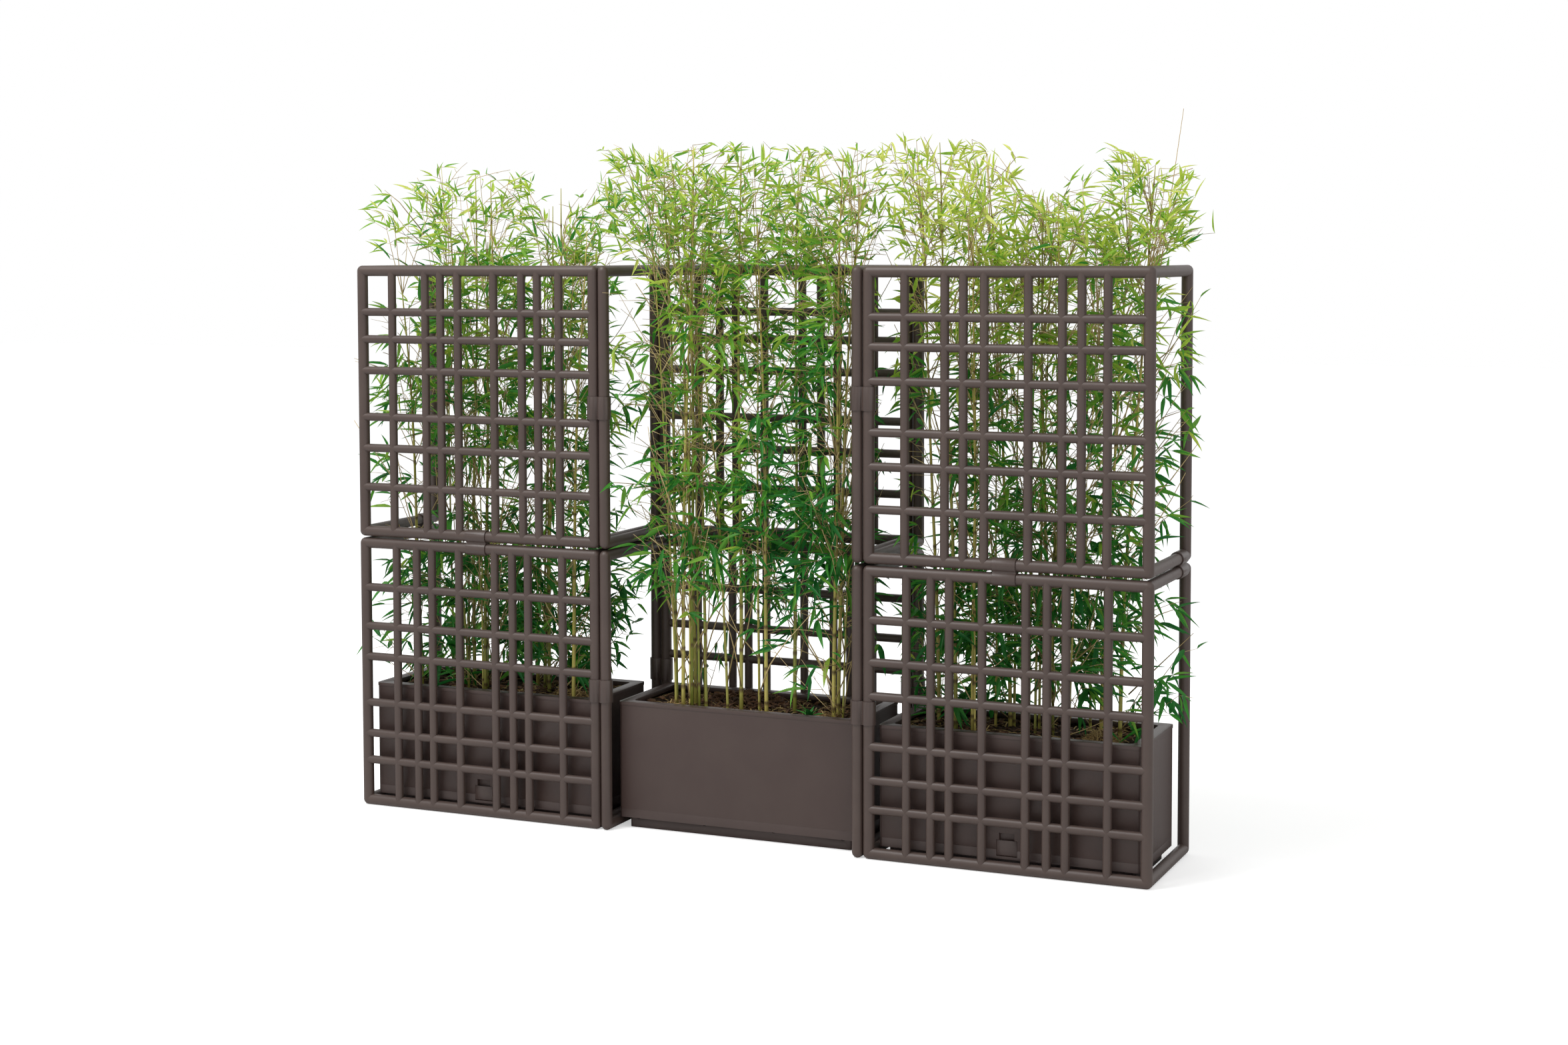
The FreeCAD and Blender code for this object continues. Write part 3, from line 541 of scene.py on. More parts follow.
def litter(column, kind, shape, material, count, length, width):
    """Straw or bark lying on the soil, inside the rim's inner edge."""
    rng = random.Random(f"{kind} {column}")
    low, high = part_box(f"soil_{column}")
    points = []
    for _ in range(count):
        share = rng.random()
        if rng.random() < THICK_SHARE:
            share = min(0.97, max(0.03, rng.gauss(rng.choice(THICK_PLACES[column]), THICK_SPREAD)))
        x = low.x + LITTER_MARGIN + (high.x - low.x - 2 * LITTER_MARGIN) * share
        y = low.y + LITTER_MARGIN + (high.y - low.y - 2 * LITTER_MARGIN) * rng.random()
        long = length * rng.uniform(0.5, 1.3)
        turn = (rng.uniform(-0.35, 0.35), rng.uniform(-0.3, 0.3), rng.uniform(0, math.tau))
        size = (long, width * rng.uniform(0.6, 1.5), width * rng.uniform(0.3, 0.8))
        points.append(((x, y, high.z + rng.uniform(-0.001, 0.006)), turn, size, rng.random()))
    piece = scattered(f"{kind}_{column}", shape, material, points)
    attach(piece, f"planter_{column}")


def mound(name, column, centre, radius, rise, shape, material, count, length, width):
    """A low mound of straw or bark on the soil, its pieces lying every way along it."""
    rng = random.Random(name)
    low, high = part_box(f"soil_{column}")
    points = []
    for _ in range(count):
        out = radius * math.sqrt(rng.random())
        angle = rng.uniform(0, math.tau)
        x = centre[0] + out * math.cos(angle)
        y = centre[1] + out * math.sin(angle)
        x = min(high.x - MOUND_MARGIN_X, max(low.x + MOUND_MARGIN_X, x))
        y = min(high.y - MOUND_MARGIN_Y, max(low.y + MOUND_MARGIN_Y, y))
        height = rise * (1 - (out / radius) ** 2) * rng.uniform(0.3, 1.0)
        turn = (rng.gauss(0, 0.5), rng.gauss(0, 0.45), rng.uniform(0, math.tau))
        long = length * rng.uniform(0.5, 1.4)
        size = (long, width * rng.uniform(0.6, 1.4), width * rng.uniform(0.4, 0.9))
        points.append(((x, y, high.z + height), turn, size, rng.random()))
    piece = scattered(name, shape, material, points)
    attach(piece, f"planter_{column}")


WEED_LIFT = 0.004


def rosette(name, column, foot, count, length):
    """A small weed: a few broad green leaves that rise from one point of the soil."""
    rng = random.Random(name)
    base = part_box(f"soil_{column}")[1].z
    points = []
    for number in range(count):
        heading = math.tau * number / count + rng.uniform(-0.2, 0.2)
        long = length * rng.uniform(0.75, 1.15)
        turn = leaf_turn(heading, rng.uniform(-1.15, -0.45), rng.gauss(0, 0.2))
        place = (foot[0], foot[1], base + WEED_LIFT)
        points.append((place, turn, (long, long * 0.34, long * 0.8), rng.random()))
    piece = scattered(name, LEAF_SHAPE, WEED, points)
    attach(piece, f"planter_{column}")


# Bamboo


class TubeMesh:
    """Collects tapering tubes along paths into one mesh."""

    def __init__(self, sides):
        self.sides = sides
        self.vertices = []
        self.faces = []
        self.tints = []
        self.rings = []

    def tube(self, path, radii, tint, rings=None):
        """Adds a tube; rings says how brown it is at each point of its path."""
        start = len(self.vertices)
        side = Vector((1, 0, 0))
        for index, point in enumerate(path):
            ahead = path[min(index + 1, len(path) - 1)] - path[max(index - 1, 0)]
            ahead.normalize()
            side = (side - ahead * side.dot(ahead)).normalized()
            across = ahead.cross(side)
            for step in range(self.sides):
                angle = math.tau * step / self.sides
                out = side * math.cos(angle) + across * math.sin(angle)
                self.vertices.append(point + out * radii[index])
                self.tints.append(tint)
                self.rings.append(rings[index] if rings else 0.0)
        for index in range(len(path) - 1):
            for step in range(self.sides):
                a = start + index * self.sides + step
                b = start + index * self.sides + (step + 1) % self.sides
                self.faces.append((a, b, b + self.sides, a + self.sides))
        self.faces.append(tuple(start + k for k in range(self.sides))[::-1])
        last = start + (len(path) - 1) * self.sides
        self.faces.append(tuple(last + k for k in range(self.sides)))

    def piece(self, name, material):
        mesh = bpy.data.meshes.new(name)
        mesh.from_pydata([tuple(v) for v in self.vertices], [], self.faces)
        for polygon in mesh.polygons:
            polygon.use_smooth = len(polygon.vertices) == 4
        mesh.attributes.new("tint", "FLOAT", "POINT").data.foreach_set("value", self.tints)
        mesh.attributes.new("ring", "FLOAT", "POINT").data.foreach_set("value", self.rings)
        mesh.materials.append(material)
        return add_object(name, mesh)


# How far above a stem's lowest point a vertex still belongs to its foot
FOOT_HEIGHT = 0.001


def stem_feet(node):
    """Where each CAD stem of a planter stands, with its radius and its top."""
    work = bmesh.new()
    work.from_mesh(frame["nodes"][node].data)
    bmesh.ops.remove_doubles(work, verts=work.verts, dist=MERGE_DISTANCE)
    seen = set()
    stems = []
    for vertex in work.verts:
        if vertex in seen:
            continue
        group = [vertex]
        seen.add(vertex)
        for member in group:
            for edge in member.link_edges:
                other = edge.other_vert(member)
                if other not in seen:
                    seen.add(other)
                    group.append(other)
        low = min(v.co.z for v in group)
        foot = [v.co for v in group if v.co.z < low + FOOT_HEIGHT]
        xs = [c.x for c in foot]
        ys = [c.y for c in foot]
        middle = Vector(((min(xs) + max(xs)) / 2, (min(ys) + max(ys)) / 2, low))
        stems.append((middle, (max(xs) - min(xs)) / 2, max(v.co.z for v in group)))
    work.free()
    return sorted(stems, key=lambda stem: stem[0].x)


# The wall: from one column's middle to the next, its height, and the heights of its end windows
PITCH = 0.872
WALL_TOP = 1.745
END_WINDOWS = ((0.43, 0.81), (0.94, 1.69))

# How far foliage may stand out from the wall's middle, over its open side and at its ends
FOLIAGE_REACH = {"left": 0.255, "middle": 0.29, "right": 0.255}
END_REACH = 1.385
# Inside a module: from the column's middle, to its lattice, and out through a window in the wall's end
MODULE_REACH = 0.392
LATTICE_REACH = 0.192
END_START = 0.385
WINDOW_REACH = 0.52
WINDOW_HALF_DEPTH = 0.17
# Over the wall, from its top and from the column's middle, and further out over the wall's ends
CROWN_LIFT = 0.03
CROWN_REACH = 0.432
CROWN_OVERHANG = 0.075
CROWN_LATTICE_REACH = 0.25
# Below the rim's level foliage hangs only over the rim on the open side
RIM_LEVEL = 0.41
RIM_REACH = 0.39
RIM_HALF_DEPTH = 0.183
LOWEST_LEAF = 0.34
# Where a column's two halves meet, whose foliage differs
HALVES_MEET = 0.05

# Across each column, from its middle: how high the crown reaches
CROWN_TOPS = {
    "left": ((-0.43, 1.98), (-0.33, 2.1), (-0.13, 2.06), (0.0, 2.05), (0.1, 1.93), (0.21, 2.0),
             (0.43, 2.1)),
    "middle": ((-0.43, 2.1), (-0.3, 2.12), (0.0, 2.13), (0.21, 2.1), (0.34, 2.09), (0.43, 2.12)),
    "right": ((-0.43, 2.14), (-0.21, 2.12), (-0.07, 2.08), (0.0, 1.96), (0.13, 1.97), (0.21, 2.1),
              (0.43, 2.03)),
}
# Up each column: the share of its twigs that carry leaves
LEAFING = {
    "left": ((0.42, 0.85), (0.8, 0.75), (1.0, 0.38), (1.3, 0.42), (1.6, 0.55), (1.8, 0.42),
             (2.1, 0.38)),
    "middle": ((0.5, 0.04), (0.66, 0.3), (0.85, 0.46), (1.3, 0.3), (1.7, 0.42), (2.1, 0.6)),
    "right": ((0.42, 0.8), (0.8, 0.7), (1.0, 0.38), (1.3, 0.42), (1.6, 0.52), (1.8, 0.48),
              (2.1, 0.42)),
}
# Up each column: the share of the places tried for a leafy branch that get one
FILLING = {
    "left": ((0.42, 0.42), (0.8, 0.34), (1.0, 0.16), (1.3, 0.18), (1.6, 0.26), (1.8, 0.36),
             (2.1, 0.32)),
    "middle": ((0.5, 0.02), (0.66, 0.1), (0.85, 0.22), (1.3, 0.18), (1.7, 0.24), (1.8, 0.66),
               (2.1, 0.7)),
    "right": ((0.42, 0.32), (0.8, 0.26), (1.0, 0.16), (1.3, 0.16), (1.6, 0.26), (1.8, 0.8),
              (2.1, 0.75)),
}
# Up the clumps: the leaves' tint, from dark green to lime, and how much it varies
TINTS = ((0.45, 0.12), (0.9, 0.24), (1.3, 0.38), (1.7, 0.56), (2.1, 0.76))
TINT_SPREAD = 0.18
# Up the clumps: how far the leaves hang, in radians, with the crown's young ones erect, and their size
DROOPS = ((0.45, 0.3), (1.5, 0.2), (1.8, -0.3), (2.1, -0.6))
LEAF_SIZES = ((0.45, 1.15), (1.4, 1.0), (1.75, 0.8), (2.1, 0.66))


def graded(table, at):
    """The value at one place of a table of places and values, straight between them."""
    for (low, first), (high, second) in zip(table, table[1:]):
        if at <= high:
            return first + (second - first) * max(0.0, at - low) / (high - low)
    return table[-1][1]


class Room:
    """The space that one planter's foliage may fill, at each height."""

    def __init__(self, column):
        self.column = column
        self.middle = (COLUMNS.index(column) - 1) * PITCH
        self.open_side = OPEN_SIDE[column]
        self.outward = COLUMNS.index(column) - 1

    def holds(self, point):
        """Whether foliage may be at a point."""
        x = point.x - self.middle
        y = point.y * self.open_side
        if y > FOLIAGE_REACH[self.column] or abs(point.x) > END_REACH:
            return False
        if point.z > WALL_TOP + CROWN_LIFT:
            reach = CROWN_REACH + (CROWN_OVERHANG if x * self.outward > 0 else 0.0)
            return abs(x) < reach and y > -CROWN_LATTICE_REACH and point.z < self.top(x)
        if point.z < RIM_LEVEL and (abs(x) > RIM_REACH or abs(y) > RIM_HALF_DEPTH):
            return point.z > LOWEST_LEAF and abs(x) < RIM_REACH and y > 0
        if x * self.outward > END_START:
            in_window = any(low < point.z < high for low, high in END_WINDOWS)
            return in_window and abs(x) < WINDOW_REACH and abs(y) < WINDOW_HALF_DEPTH
        return abs(x) < MODULE_REACH and y > -LATTICE_REACH

    def top(self, x):
        """How high the crown reaches at a place across the column."""
        return graded(CROWN_TOPS[self.column], x)

    def leafing(self, point):
        """The share of twigs in leaf: the middle's stems stand bare low down, but for its right end."""
        share = graded(LEAFING[self.column], point.z)
        if self.column == "middle":
            x = point.x - self.middle
            if point.z > WALL_TOP and x > 0.15:
                share *= 0.6
            elif point.z < 0.9 and x > 0.2:
                share = 0.5
        return share

    def filling(self, point):
        """The share of leafy branches tried at a place that grow: the middle is fuller at its right."""
        share = graded(FILLING[self.column], point.z)
        if self.column == "middle" and point.z < 1.5:
            share *= 0.4 if point.x < HALVES_MEET else 1.7
        return share

    def tint(self, point, rng):
        """A leaf's tint: the right crown is yellower, and the middle darker at its right."""
        x = point.x - self.middle
        tint = graded(TINTS, point.z) + rng.gauss(0, TINT_SPREAD)
        if self.column == "right" and point.z > 1.45:
            tint += 0.2 if x < HALVES_MEET else 0.1
        elif self.column == "middle" and 0.6 < point.z < 1.6:
            tint -= 0.12 if x > HALVES_MEET else -0.06
        return min(1.0, max(0.0, tint))


# A stem's path: its points, how its bend grows with height, and a wave along it
STEM_STEPS = 26
BEND_POWER = 1.6
WAVE_WIDTH, WAVE_TURN = 0.006, 7.0
JOINT_GAPS = (0.11, 0.15)
# Across a joint: the share of the stem's length from it, the width to the stem's and how brown it is
JOINT_PROFILE = ((-0.006, 1.0, 0.0), (-0.0015, 1.13, 0.8), (0.0015, 1.16, 1.0), (0.006, 0.97, 0.0))
STEM_TIP = 0.6


def stem_path(foot, top, sway, rng):
    """A stem that rises straight out of the soil and leans and bends a little higher up."""
    phase = rng.uniform(0, math.tau)
    path = []
    for step in range(STEM_STEPS + 1):
        share = step / STEM_STEPS
        bend = share ** BEND_POWER
        wave = WAVE_WIDTH * math.sin(phase + share * WAVE_TURN) * share
        path.append(Vector((foot.x + sway.x * bend + wave, foot.y + sway.y * bend + wave * 0.7,
                            foot.z + (top - foot.z) * share)))
    return path


def along(path, share):
    """The point at a share of a path's steps."""
    at = share * (len(path) - 1)
    index = min(int(at), len(path) - 2)
    return path[index].lerp(path[index + 1], at - index)


def joint_shares(length, rng):
    """Where a stem has its joints, as shares of its length: closer together towards its top."""
    gap = rng.uniform(*JOINT_GAPS) / length
    joints = []
    share = gap * rng.uniform(0.5, 1.0)
    while share < 0.97:
        joints.append(share)
        share += gap * rng.uniform(0.85, 1.1) * (1 - 0.35 * share)
    return joints


def jointed(tubes, path, radius_low, radius_high, joints, tint):
    """A stem in short lengths with a swollen ring at each joint."""
    profile = [(0.0, 1.0, 0.0)]
    for joint in joints:
        for offset, wide, ring in JOINT_PROFILE:
            profile.append((min(1.0, max(0.0, joint + offset)), wide, ring))
    profile.append((1.0, STEM_TIP, 0.0))
    points = [along(path, share) for share, _, _ in profile]
    radii = [(radius_low + (radius_high - radius_low) * share) * wide for share, wide, _ in profile]
    tubes.tube(points, radii, tint, [ring for _, _, ring in profile])


def leaf_turn(heading, pitch, roll):
    """The turn of a leaf that points along a heading, tipped down by its pitch."""
    return (Matrix.Rotation(heading, 3, "Z") @ Matrix.Rotation(pitch, 3, "Y")
            @ Matrix.Rotation(roll, 3, "X")).to_euler()


def pointing(heading, climb):
    """The unit vector along a heading that climbs by an angle."""
    level = math.cos(climb)
    return Vector((math.cos(heading) * level, math.sin(heading) * level, math.sin(climb)))


def taper(thick, loss, steps, count):
    """The radii along a path that loses so much over all its steps."""
    return [thick - loss * step / steps for step in range(count)]


LEAF_LENGTHS = (0.05, 0.1)
# Shares of a leaf's length: its width, the height of its fold and sag, and how far its tip hangs
LEAF_WIDTHS = (0.12, 0.18)
LEAF_HEIGHT = 0.6
TIP_SAG = 0.15


def leaf_fan(leaves, at, heading, rng, room, count):
    """A few leaves that spread from the end of a twig."""
    for number in range(count):
        spread = (number - (count - 1) / 2) * rng.uniform(0.45, 0.75)
        own_heading = heading + spread
        pitch = rng.gauss(graded(DROOPS, at.z), 0.5)
        length = rng.uniform(*LEAF_LENGTHS) * graded(LEAF_SIZES, at.z)
        level = math.cos(pitch)
        aim = Vector((math.cos(own_heading) * level, math.sin(own_heading) * level,
                      -math.sin(pitch) - TIP_SAG))
        tip = at + aim * length
        if not room.holds(tip) or not room.holds(at.lerp(tip, 0.5)):
            continue
        width = length * rng.uniform(*LEAF_WIDTHS)
        turn = leaf_turn(own_heading, pitch, rng.gauss(0, 0.6))
        leaves.append((at, turn, (length, width, length * LEAF_HEIGHT), room.tint(at, rng)))


# Radii: at the start, and lost over the whole length
BRANCH_RADII = (0.0016, 0.0009)
SPRAY_RADII = (0.0018, 0.0011)
SHOOT_RADII = (0.0024, 0.0016)
# Radii at each point of a short path
TWIG_RADII = (0.001, 0.0005)
SPRAY_TWIG_RADII = (0.0009, 0.0005)
STRAY_RADII = (0.0022, 0.0016, 0.0008)
BRANCH_STEPS = 5
BRANCH_WANDER = 0.09
BRANCH_SAG = 0.07
TWIG_SHARE = 0.75
TWIG_LENGTHS = (0.03, 0.09)
# How many leaves a twig's fan may have
TWIG_FANS = (2, 2, 3, 3, 4)


def branch(tubes, leaves, at, heading, climb, length, rng, room):
    """A thin branch that rises from a joint, with twigs and fans of leaves along it."""
    path = [at]
    direction = pointing(heading, climb)
    for _ in range(BRANCH_STEPS):
        direction += Vector((rng.gauss(0, BRANCH_WANDER), rng.gauss(0, BRANCH_WANDER), -BRANCH_SAG))
        direction.normalize()
        following = path[-1] + direction * (length / BRANCH_STEPS)
        if not room.holds(following):
            break
        path.append(following)
    if len(path) < 2:
        return
    tubes.tube(path, taper(*BRANCH_RADII, BRANCH_STEPS, len(path)), rng.random())
    for point in path[1:]:
        leafing = room.leafing(point)
        if rng.random() < TWIG_SHARE:
            turn = heading + rng.choice((-1, 1)) * rng.uniform(0.5, 1.2)
            reach = rng.uniform(*TWIG_LENGTHS)
            out = Vector((math.cos(turn), math.sin(turn), rng.uniform(-0.1, 0.6))).normalized()
            end = point + out * reach
            if room.holds(end):
                tubes.tube([point, end], TWIG_RADII, rng.random())
                if rng.random() < leafing:
                    leaf_fan(leaves, end, turn, rng, room, rng.choice(TWIG_FANS))
        if rng.random() < 0.4 * leafing:
            leaf_fan(leaves, point, heading, rng, room, 2)
    if rng.random() < room.leafing(path[-1]) + 0.15:
        leaf_fan(leaves, path[-1], heading, rng, room, 3)


SPRAY_STEPS = 6
# From this step on a spray has twigs
SPRAY_BARE = 3
SPRAY_SAG = 0.06
SPRAY_TWIG_LENGTHS = (0.02, 0.07)
SPRAY_FANS = (2, 2, 3, 4)


def spray(tubes, leaves, target, paths, rng, room):
    """A slender branch that reaches from a near stem to a place in the room, in leaf at its end."""
    def away(path):
        return (path[len(path) // 2].xy - target.xy).length

    near = min(paths, key=lambda path: away(path) * rng.uniform(0.7, 1.3))
    side = away(near)
    foot = max(near[0].z + 0.08, target.z - 0.1 - side * rng.uniform(0.6, 1.1))
    start = along(near, min(0.96, (foot - near[0].z) / (near[-1].z - near[0].z)))
    bow = start.lerp(target, 0.5) + Vector((0, 0, -SPRAY_SAG * side))
    path = []
    for step in range(SPRAY_STEPS + 1):
        share = step / SPRAY_STEPS
        path.append(start.lerp(bow, share).lerp(bow.lerp(target, share), share))
    if not all(room.holds(point) for point in path):
        return
    tubes.tube(path, taper(*SPRAY_RADII, SPRAY_STEPS, len(path)), rng.random())
    heading = math.atan2(target.y - start.y, target.x - start.x)
    for point in path[SPRAY_BARE:]:
        for way in rng.choice(((-1, 1), (-1,), (1,))):
            turn = heading + way * rng.uniform(0.3, 1.3)
            out = Vector((math.cos(turn), math.sin(turn), rng.uniform(-0.4, 0.6))).normalized()
            end = point + out * rng.uniform(*SPRAY_TWIG_LENGTHS)
            if room.holds(end):
                tubes.tube([point, end], SPRAY_TWIG_RADII, rng.random())
                leaf_fan(leaves, end, turn, rng, room, rng.choice(SPRAY_FANS))
    leaf_fan(leaves, path[-1], heading, rng, room, 3)


SPRAYS_TRIED = 900


def sprays(tubes, leaves, paths, rng, room):
    """Leafy branches all over the room, closer together where its leaves are denser."""
    top = max(height for _, height in CROWN_TOPS[room.column])
    for _ in range(SPRAYS_TRIED):
        target = Vector((room.middle + rng.uniform(-0.48, 0.48),
                         rng.uniform(-0.19, 0.29) * room.open_side,
                         rng.uniform(0.45, top)))
        if room.holds(target) and rng.random() < room.filling(target):
            spray(tubes, leaves, target, paths, rng, room)


# Twigs that stick out past the wall's ends or above it: the column, points along it and leaves tried
STRAYS = (
    ("right", ((1.17, 0.03, 0.5), (1.27, 0.01, 0.6), (1.372, -0.02, 0.7)), 0),
    ("right", ((1.2, 0.05, 1.04), (1.29, 0.03, 1.13), (1.376, 0.0, 1.24)), 0),
    ("right", ((1.22, 0.06, 1.5), (1.256, 0.05, 1.78), (1.315, 0.05, 2.19)), 0),
    ("right", ((1.18, 0.02, 1.3), (1.27, 0.0, 1.4), (1.318, -0.02, 1.44)), 4),
    ("right", ((1.18, 0.05, 1.42), (1.28, 0.04, 1.5), (1.312, 0.03, 1.54)), 4),
    ("right", ((1.2, -0.05, 1.5), (1.27, -0.05, 1.58), (1.3, -0.04, 1.62)), 3),
    ("right", ((1.16, 0.04, 1.22), (1.27, 0.02, 1.31), (1.326, 0.0, 1.33)), 5),
    ("right", ((1.15, -0.04, 1.36), (1.26, -0.04, 1.45), (1.33, -0.05, 1.47)), 5),
    ("right", ((1.16, 0.02, 0.66), (1.26, 0.02, 0.74), (1.31, 0.02, 0.76)), 4),
    ("left", ((-1.2, 0.0, 1.86), (-1.27, -0.02, 1.95), (-1.32, -0.03, 1.99)), 4),
    ("left", ((-1.21, 0.05, 1.8), (-1.28, 0.04, 1.86), (-1.31, 0.03, 1.9)), 4),
    ("left", ((-1.18, -0.05, 0.98), (-1.28, -0.06, 1.06), (-1.316, -0.08, 1.09)), 4),
)
SHOOTS = 5
SHOOT_STEPS = 7
SHOOT_CLIMBS = (0.75, 1.35)


def shoots(tubes, path, rng, room):
    """Thin leafless shoots, long and steep, that cross the clump."""
    for _ in range(SHOOTS):
        at = along(path, rng.uniform(0.06, 0.72))
        heading = rng.uniform(0, math.tau)
        direction = pointing(heading, rng.uniform(*SHOOT_CLIMBS))
        shoot = [at]
        for _ in range(SHOOT_STEPS):
            following = shoot[-1] + direction * rng.uniform(0.05, 0.085)
            if not room.holds(following):
                break
            shoot.append(following)
            direction = (direction + Vector((rng.gauss(0, 0.07), rng.gauss(0, 0.07), 0))).normalized()
        if len(shoot) > 2:
            tubes.tube(shoot, taper(*SHOOT_RADII, len(shoot), len(shoot)), rng.random())


# Thin young stems between those of the CAD
YOUNG_STEMS = 9
STEM_SIDES, TWIG_SIDES = 10, 4
# How a stem leans: outwards by a share of its distance from the middle, and never further than this
FAN_OUT = 0.2
LONGEST_LEAN = 0.09
SWAY_SPREAD_X, SWAY_SPREAD_Y = 0.045, 0.02
SWAY_TO_OPEN_SIDE = 0.015
# A stem ends this far below the crown's top, and its tip has this share of its foot's radius
BELOW_CROWN = 0.02
STEM_NARROWING = 0.3
# Below these heights no branch grows, in the middle planter but at its right end
LOWEST_BRANCH = 0.5
LOWEST_MIDDLE_BRANCH = 0.68
MIDDLE_LEAFY_END = 0.2
# The turn from one joint's branch to the next, and the branches' climb and length
BRANCH_TURN = 2.4
BRANCH_CLIMBS = (0.25, 1.15)
BRANCH_LENGTHS = (0.12, 0.36)


def planted(feet, rng):
    """The CAD stems and the young ones beside them: foot, radius and top."""
    plants = list(feet)
    highest = max(top for _, _, top in feet)
    for _ in range(YOUNG_STEMS):
        near, radius, _ = rng.choice(feet)
        foot = near + Vector((rng.uniform(-0.05, 0.05), rng.uniform(-0.03, 0.03), 0))
        plants.append((foot, radius * rng.uniform(0.45, 0.75), rng.uniform(1.2, highest)))
    return plants


def bamboo(column):
    """A planter's clump: jointed stems, twigs and leaves, as three pieces."""
    rng = random.Random(f"bamboo {column}")
    node = f"bamboo_stems_{column}"
    room = Room(column)
    stems = TubeMesh(STEM_SIDES)
    twigs = TubeMesh(TWIG_SIDES)
    leaves = []
    paths = []
    for foot, radius, top in planted(stem_feet(node), rng):
        sway = Vector((rng.gauss(0, SWAY_SPREAD_X),
                       rng.gauss(0, SWAY_SPREAD_Y) + SWAY_TO_OPEN_SIDE * room.open_side, 0))
        sway.x += FAN_OUT * (foot.x - room.middle)
        sway.x = max(-LONGEST_LEAN, min(LONGEST_LEAN, sway.x))
        top = min(top, room.top(foot.x + sway.x - room.middle) - BELOW_CROWN)
        path = stem_path(foot, top, sway, rng)
        paths.append(path)
        joints = joint_shares(top - foot.z, rng)
        jointed(stems, path, radius, radius * STEM_NARROWING, joints, rng.random())
        shoots(twigs, path, rng, room)
        heading = rng.uniform(0, math.tau)
        for joint in joints:
            at = along(path, joint)
            bare_middle = column == "middle" and at.z < LOWEST_MIDDLE_BRANCH and at.x < MIDDLE_LEAFY_END
            if at.z < LOWEST_BRANCH or bare_middle:
                continue
            heading += BRANCH_TURN
            for _ in range(rng.choice((1, 1, 2))):
                branch(twigs, leaves, at, heading + rng.gauss(0, 0.9), rng.uniform(*BRANCH_CLIMBS),
                       rng.uniform(*BRANCH_LENGTHS), rng, room)
    sprays(twigs, leaves, paths, rng, room)
    for grown_in, points, count in STRAYS:
        if grown_in == column:
            path = [Vector(point) for point in points]
            twigs.tube(path, STRAY_RADII, rng.random())
            heading = math.pi * (room.outward < 0) + rng.uniform(-0.3, 0.3)
            leaf_fan(leaves, path[-1], heading, rng, room, count)
    stem_piece = stems.piece(f"bamboo_culms_{column}", CULM)
    twig_piece = twigs.piece(f"bamboo_twigs_{column}", TWIG)
    leaf_piece = scattered(f"bamboo_foliage_{column}", LEAF_SHAPE, LEAF, leaves)
    slots = ((stem_piece, "bamboo_stem"), (twig_piece, "bamboo_stem"), (leaf_piece, "bamboo_leaf"))
    for piece, slot in slots:
        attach(piece, f"planter_{column}")
    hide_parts(node)
    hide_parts(f"bamboo_leaves_{column}")


# Studio, light and camera

FLOOR = 30
FLOOR_WHITE = (0.93, 0.93, 0.93, 1)
WHITE = (1, 1, 1, 1)
# How far the floor glows where the camera sees it straight
FLOOR_GLOW = 0.48
# The white surroundings: as light on the object, and as seen straight, mirrored or through
WORLD_LIGHT = 0.55
WORLD_SEEN = 1.0
# Lamps: name, place, target, width and watts
LAMPS = (
    ("key", (-2.0, -3.0, 6.0), (0, 0, 0.9), 3.0, 260),
    ("fill", (5.0, -4.0, 3.0), (0.5, 0, 0.9), 3.0, 40),
)


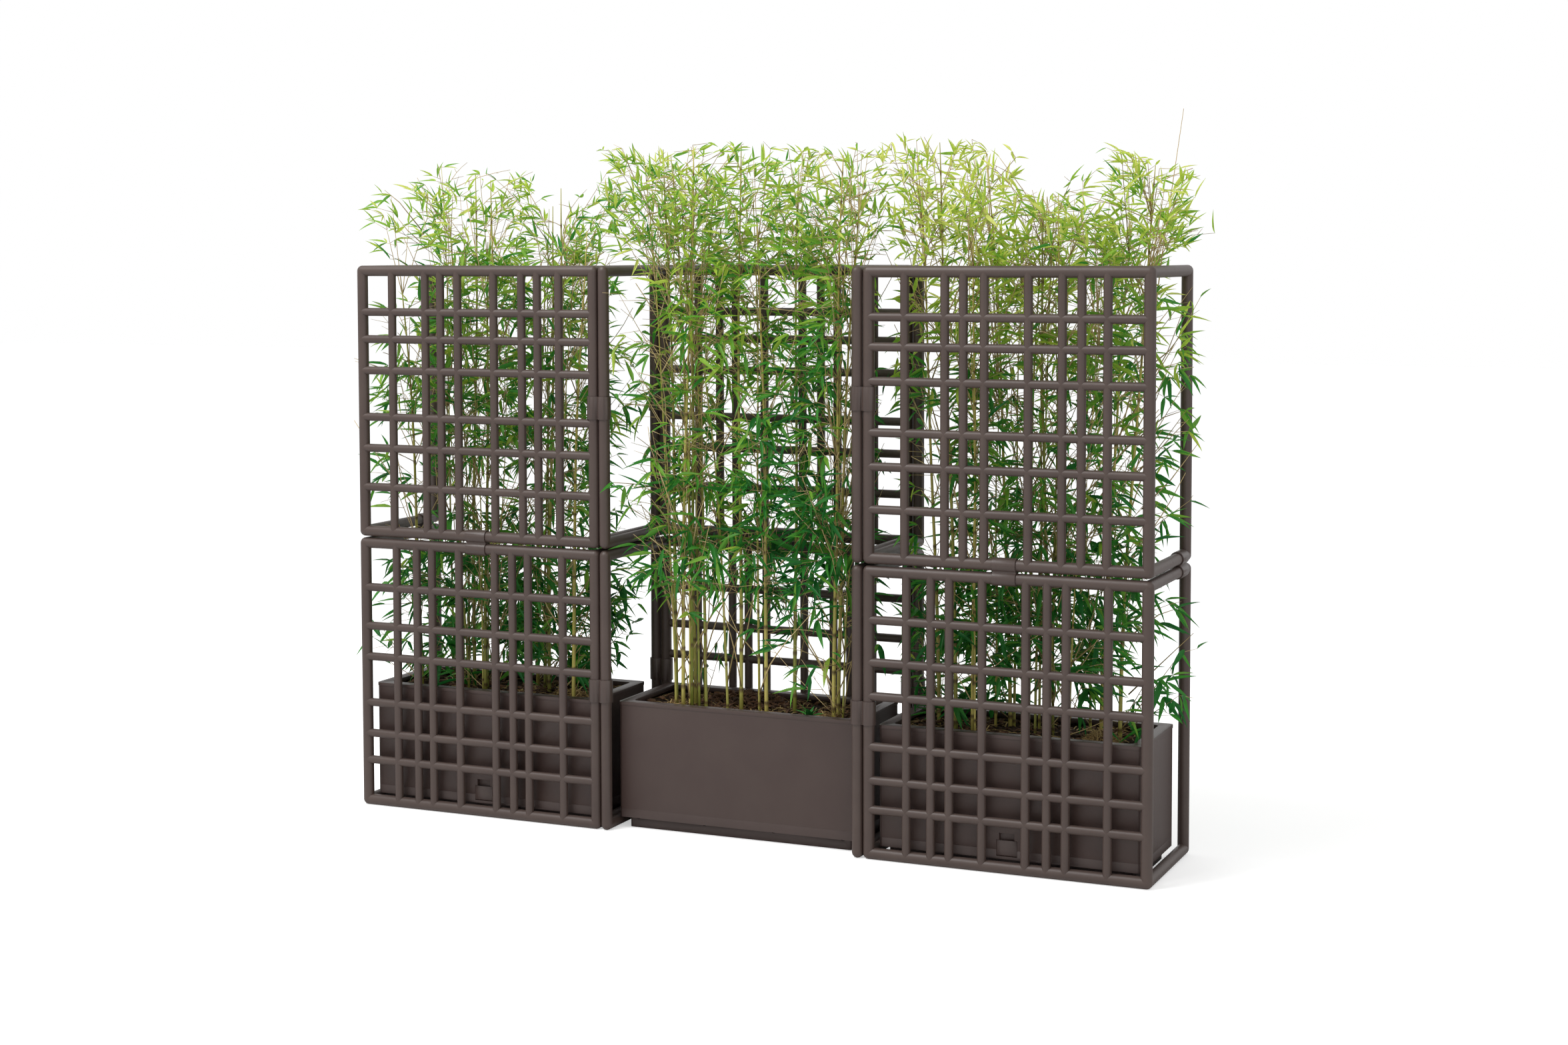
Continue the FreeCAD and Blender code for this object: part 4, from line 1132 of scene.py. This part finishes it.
def studio():
    floor_mesh = bpy.data.meshes.new("floor")
    corners = [(-FLOOR, -FLOOR, 0), (FLOOR, -FLOOR, 0), (FLOOR, FLOOR, 0), (-FLOOR, FLOOR, 0)]
    floor_mesh.from_pydata(corners, [], [(0, 1, 2, 3)])
    floor = add_object("floor", floor_mesh)
    finish = Finish("floor_white", 0.9, 0.1)
    finish.shader.inputs["Base Color"].default_value = FLOOR_WHITE
    finish.shader.inputs["Emission Color"].default_value = WHITE
    seen_straight = finish.add("ShaderNodeLightPath").outputs["Is Camera Ray"]
    glow = finish.range(seen_straight, 0, 1, 0, FLOOR_GLOW)
    finish.tree.links.new(glow, finish.shader.inputs["Emission Strength"])
    floor_mesh.materials.append(finish.material)
    world = bpy.data.worlds.new("white_studio")
    bpy.context.scene.world = world
    world.use_nodes = True
    nodes, links = world.node_tree.nodes, world.node_tree.links
    path = nodes.new("ShaderNodeLightPath")
    seen = nodes.new("ShaderNodeMath")
    seen.operation = "MAXIMUM"
    links.new(path.outputs["Is Camera Ray"], seen.inputs[0])
    links.new(path.outputs["Is Glossy Ray"], seen.inputs[1])
    either = nodes.new("ShaderNodeMath")
    either.operation = "MAXIMUM"
    links.new(seen.outputs[0], either.inputs[0])
    links.new(path.outputs["Is Transmission Ray"], either.inputs[1])
    strength = nodes.new("ShaderNodeMapRange")
    links.new(either.outputs[0], strength.inputs["Value"])
    strength.inputs["To Min"].default_value = WORLD_LIGHT
    strength.inputs["To Max"].default_value = WORLD_SEEN
    background = nodes["Background"]
    background.inputs["Color"].default_value = WHITE
    links.new(strength.outputs["Result"], background.inputs["Strength"])


def soft_lamp(name, place, target, size, watts):
    lamp = bpy.data.lights.new(name, "AREA")
    lamp.shape = "DISK"
    lamp.size = size
    lamp.energy = watts
    thing = add_object(name, lamp)
    thing.location = place
    thing.rotation_euler = (Vector(target) - Vector(place)).to_track_quat("-Z", "Y").to_euler()


# The camera, worked out from the tube edges in the photograph's frame of 2352 by 1568 pixels
PHOTO_WIDTH = 2352
SENSOR = 36.0
FOCAL_PIXELS = 3496.5
PRINCIPAL_RISE_PIXELS = 205.1
CAMERA_PLACE = (2.957, -6.508, 1.789)
CAMERA_TURN = 0.4146
CAMERA_TILT = -0.0579
CAMERA_ROLL = -0.0025


def camera():
    data = bpy.data.cameras.new("camera")
    data.sensor_width = SENSOR
    data.lens = FOCAL_PIXELS / PHOTO_WIDTH * SENSOR
    data.shift_y = -PRINCIPAL_RISE_PIXELS / PHOTO_WIDTH
    data.clip_end = 200
    thing = add_object("camera", data)
    turn = (Matrix.Rotation(CAMERA_TURN, 4, "Z") @ Matrix.Rotation(math.pi / 2 + CAMERA_TILT, 4, "X")
            @ Matrix.Rotation(CAMERA_ROLL, 4, "Z"))
    thing.matrix_world = Matrix.Translation(CAMERA_PLACE) @ turn
    bpy.context.scene.camera = thing


bpy.context.scene.view_settings.view_transform = "Standard"
paint_nodes()
for column in COLUMNS:
    rounded_copy(f"planter_box_{column}", f"planter_shell_{column}", BOX_EDGE, BOX_EDGE_SEGMENTS)
    rounded_copy(f"base_tray_{column}", f"tray_{column}", TRAY_EDGE)
    rounded_copy(f"catch_{column}", f"catch_lever_{column}", CATCH_EDGE)
    soil_top(column)
    for row in LITTER:
        litter(column, *row)
    bamboo(column)
for row in MOUNDS:
    mound(*row)
rosette("weed_rosette", "middle", (0.217, -0.095), 8, 0.052)
for clips in ("column_clips_front", "column_clips_back", "row_clips", "end_clips"):
    rounded_copy(clips, f"{clips}_moulded", CLIP_EDGE)
studio()
for row in LAMPS:
    soft_lamp(*row)
camera()
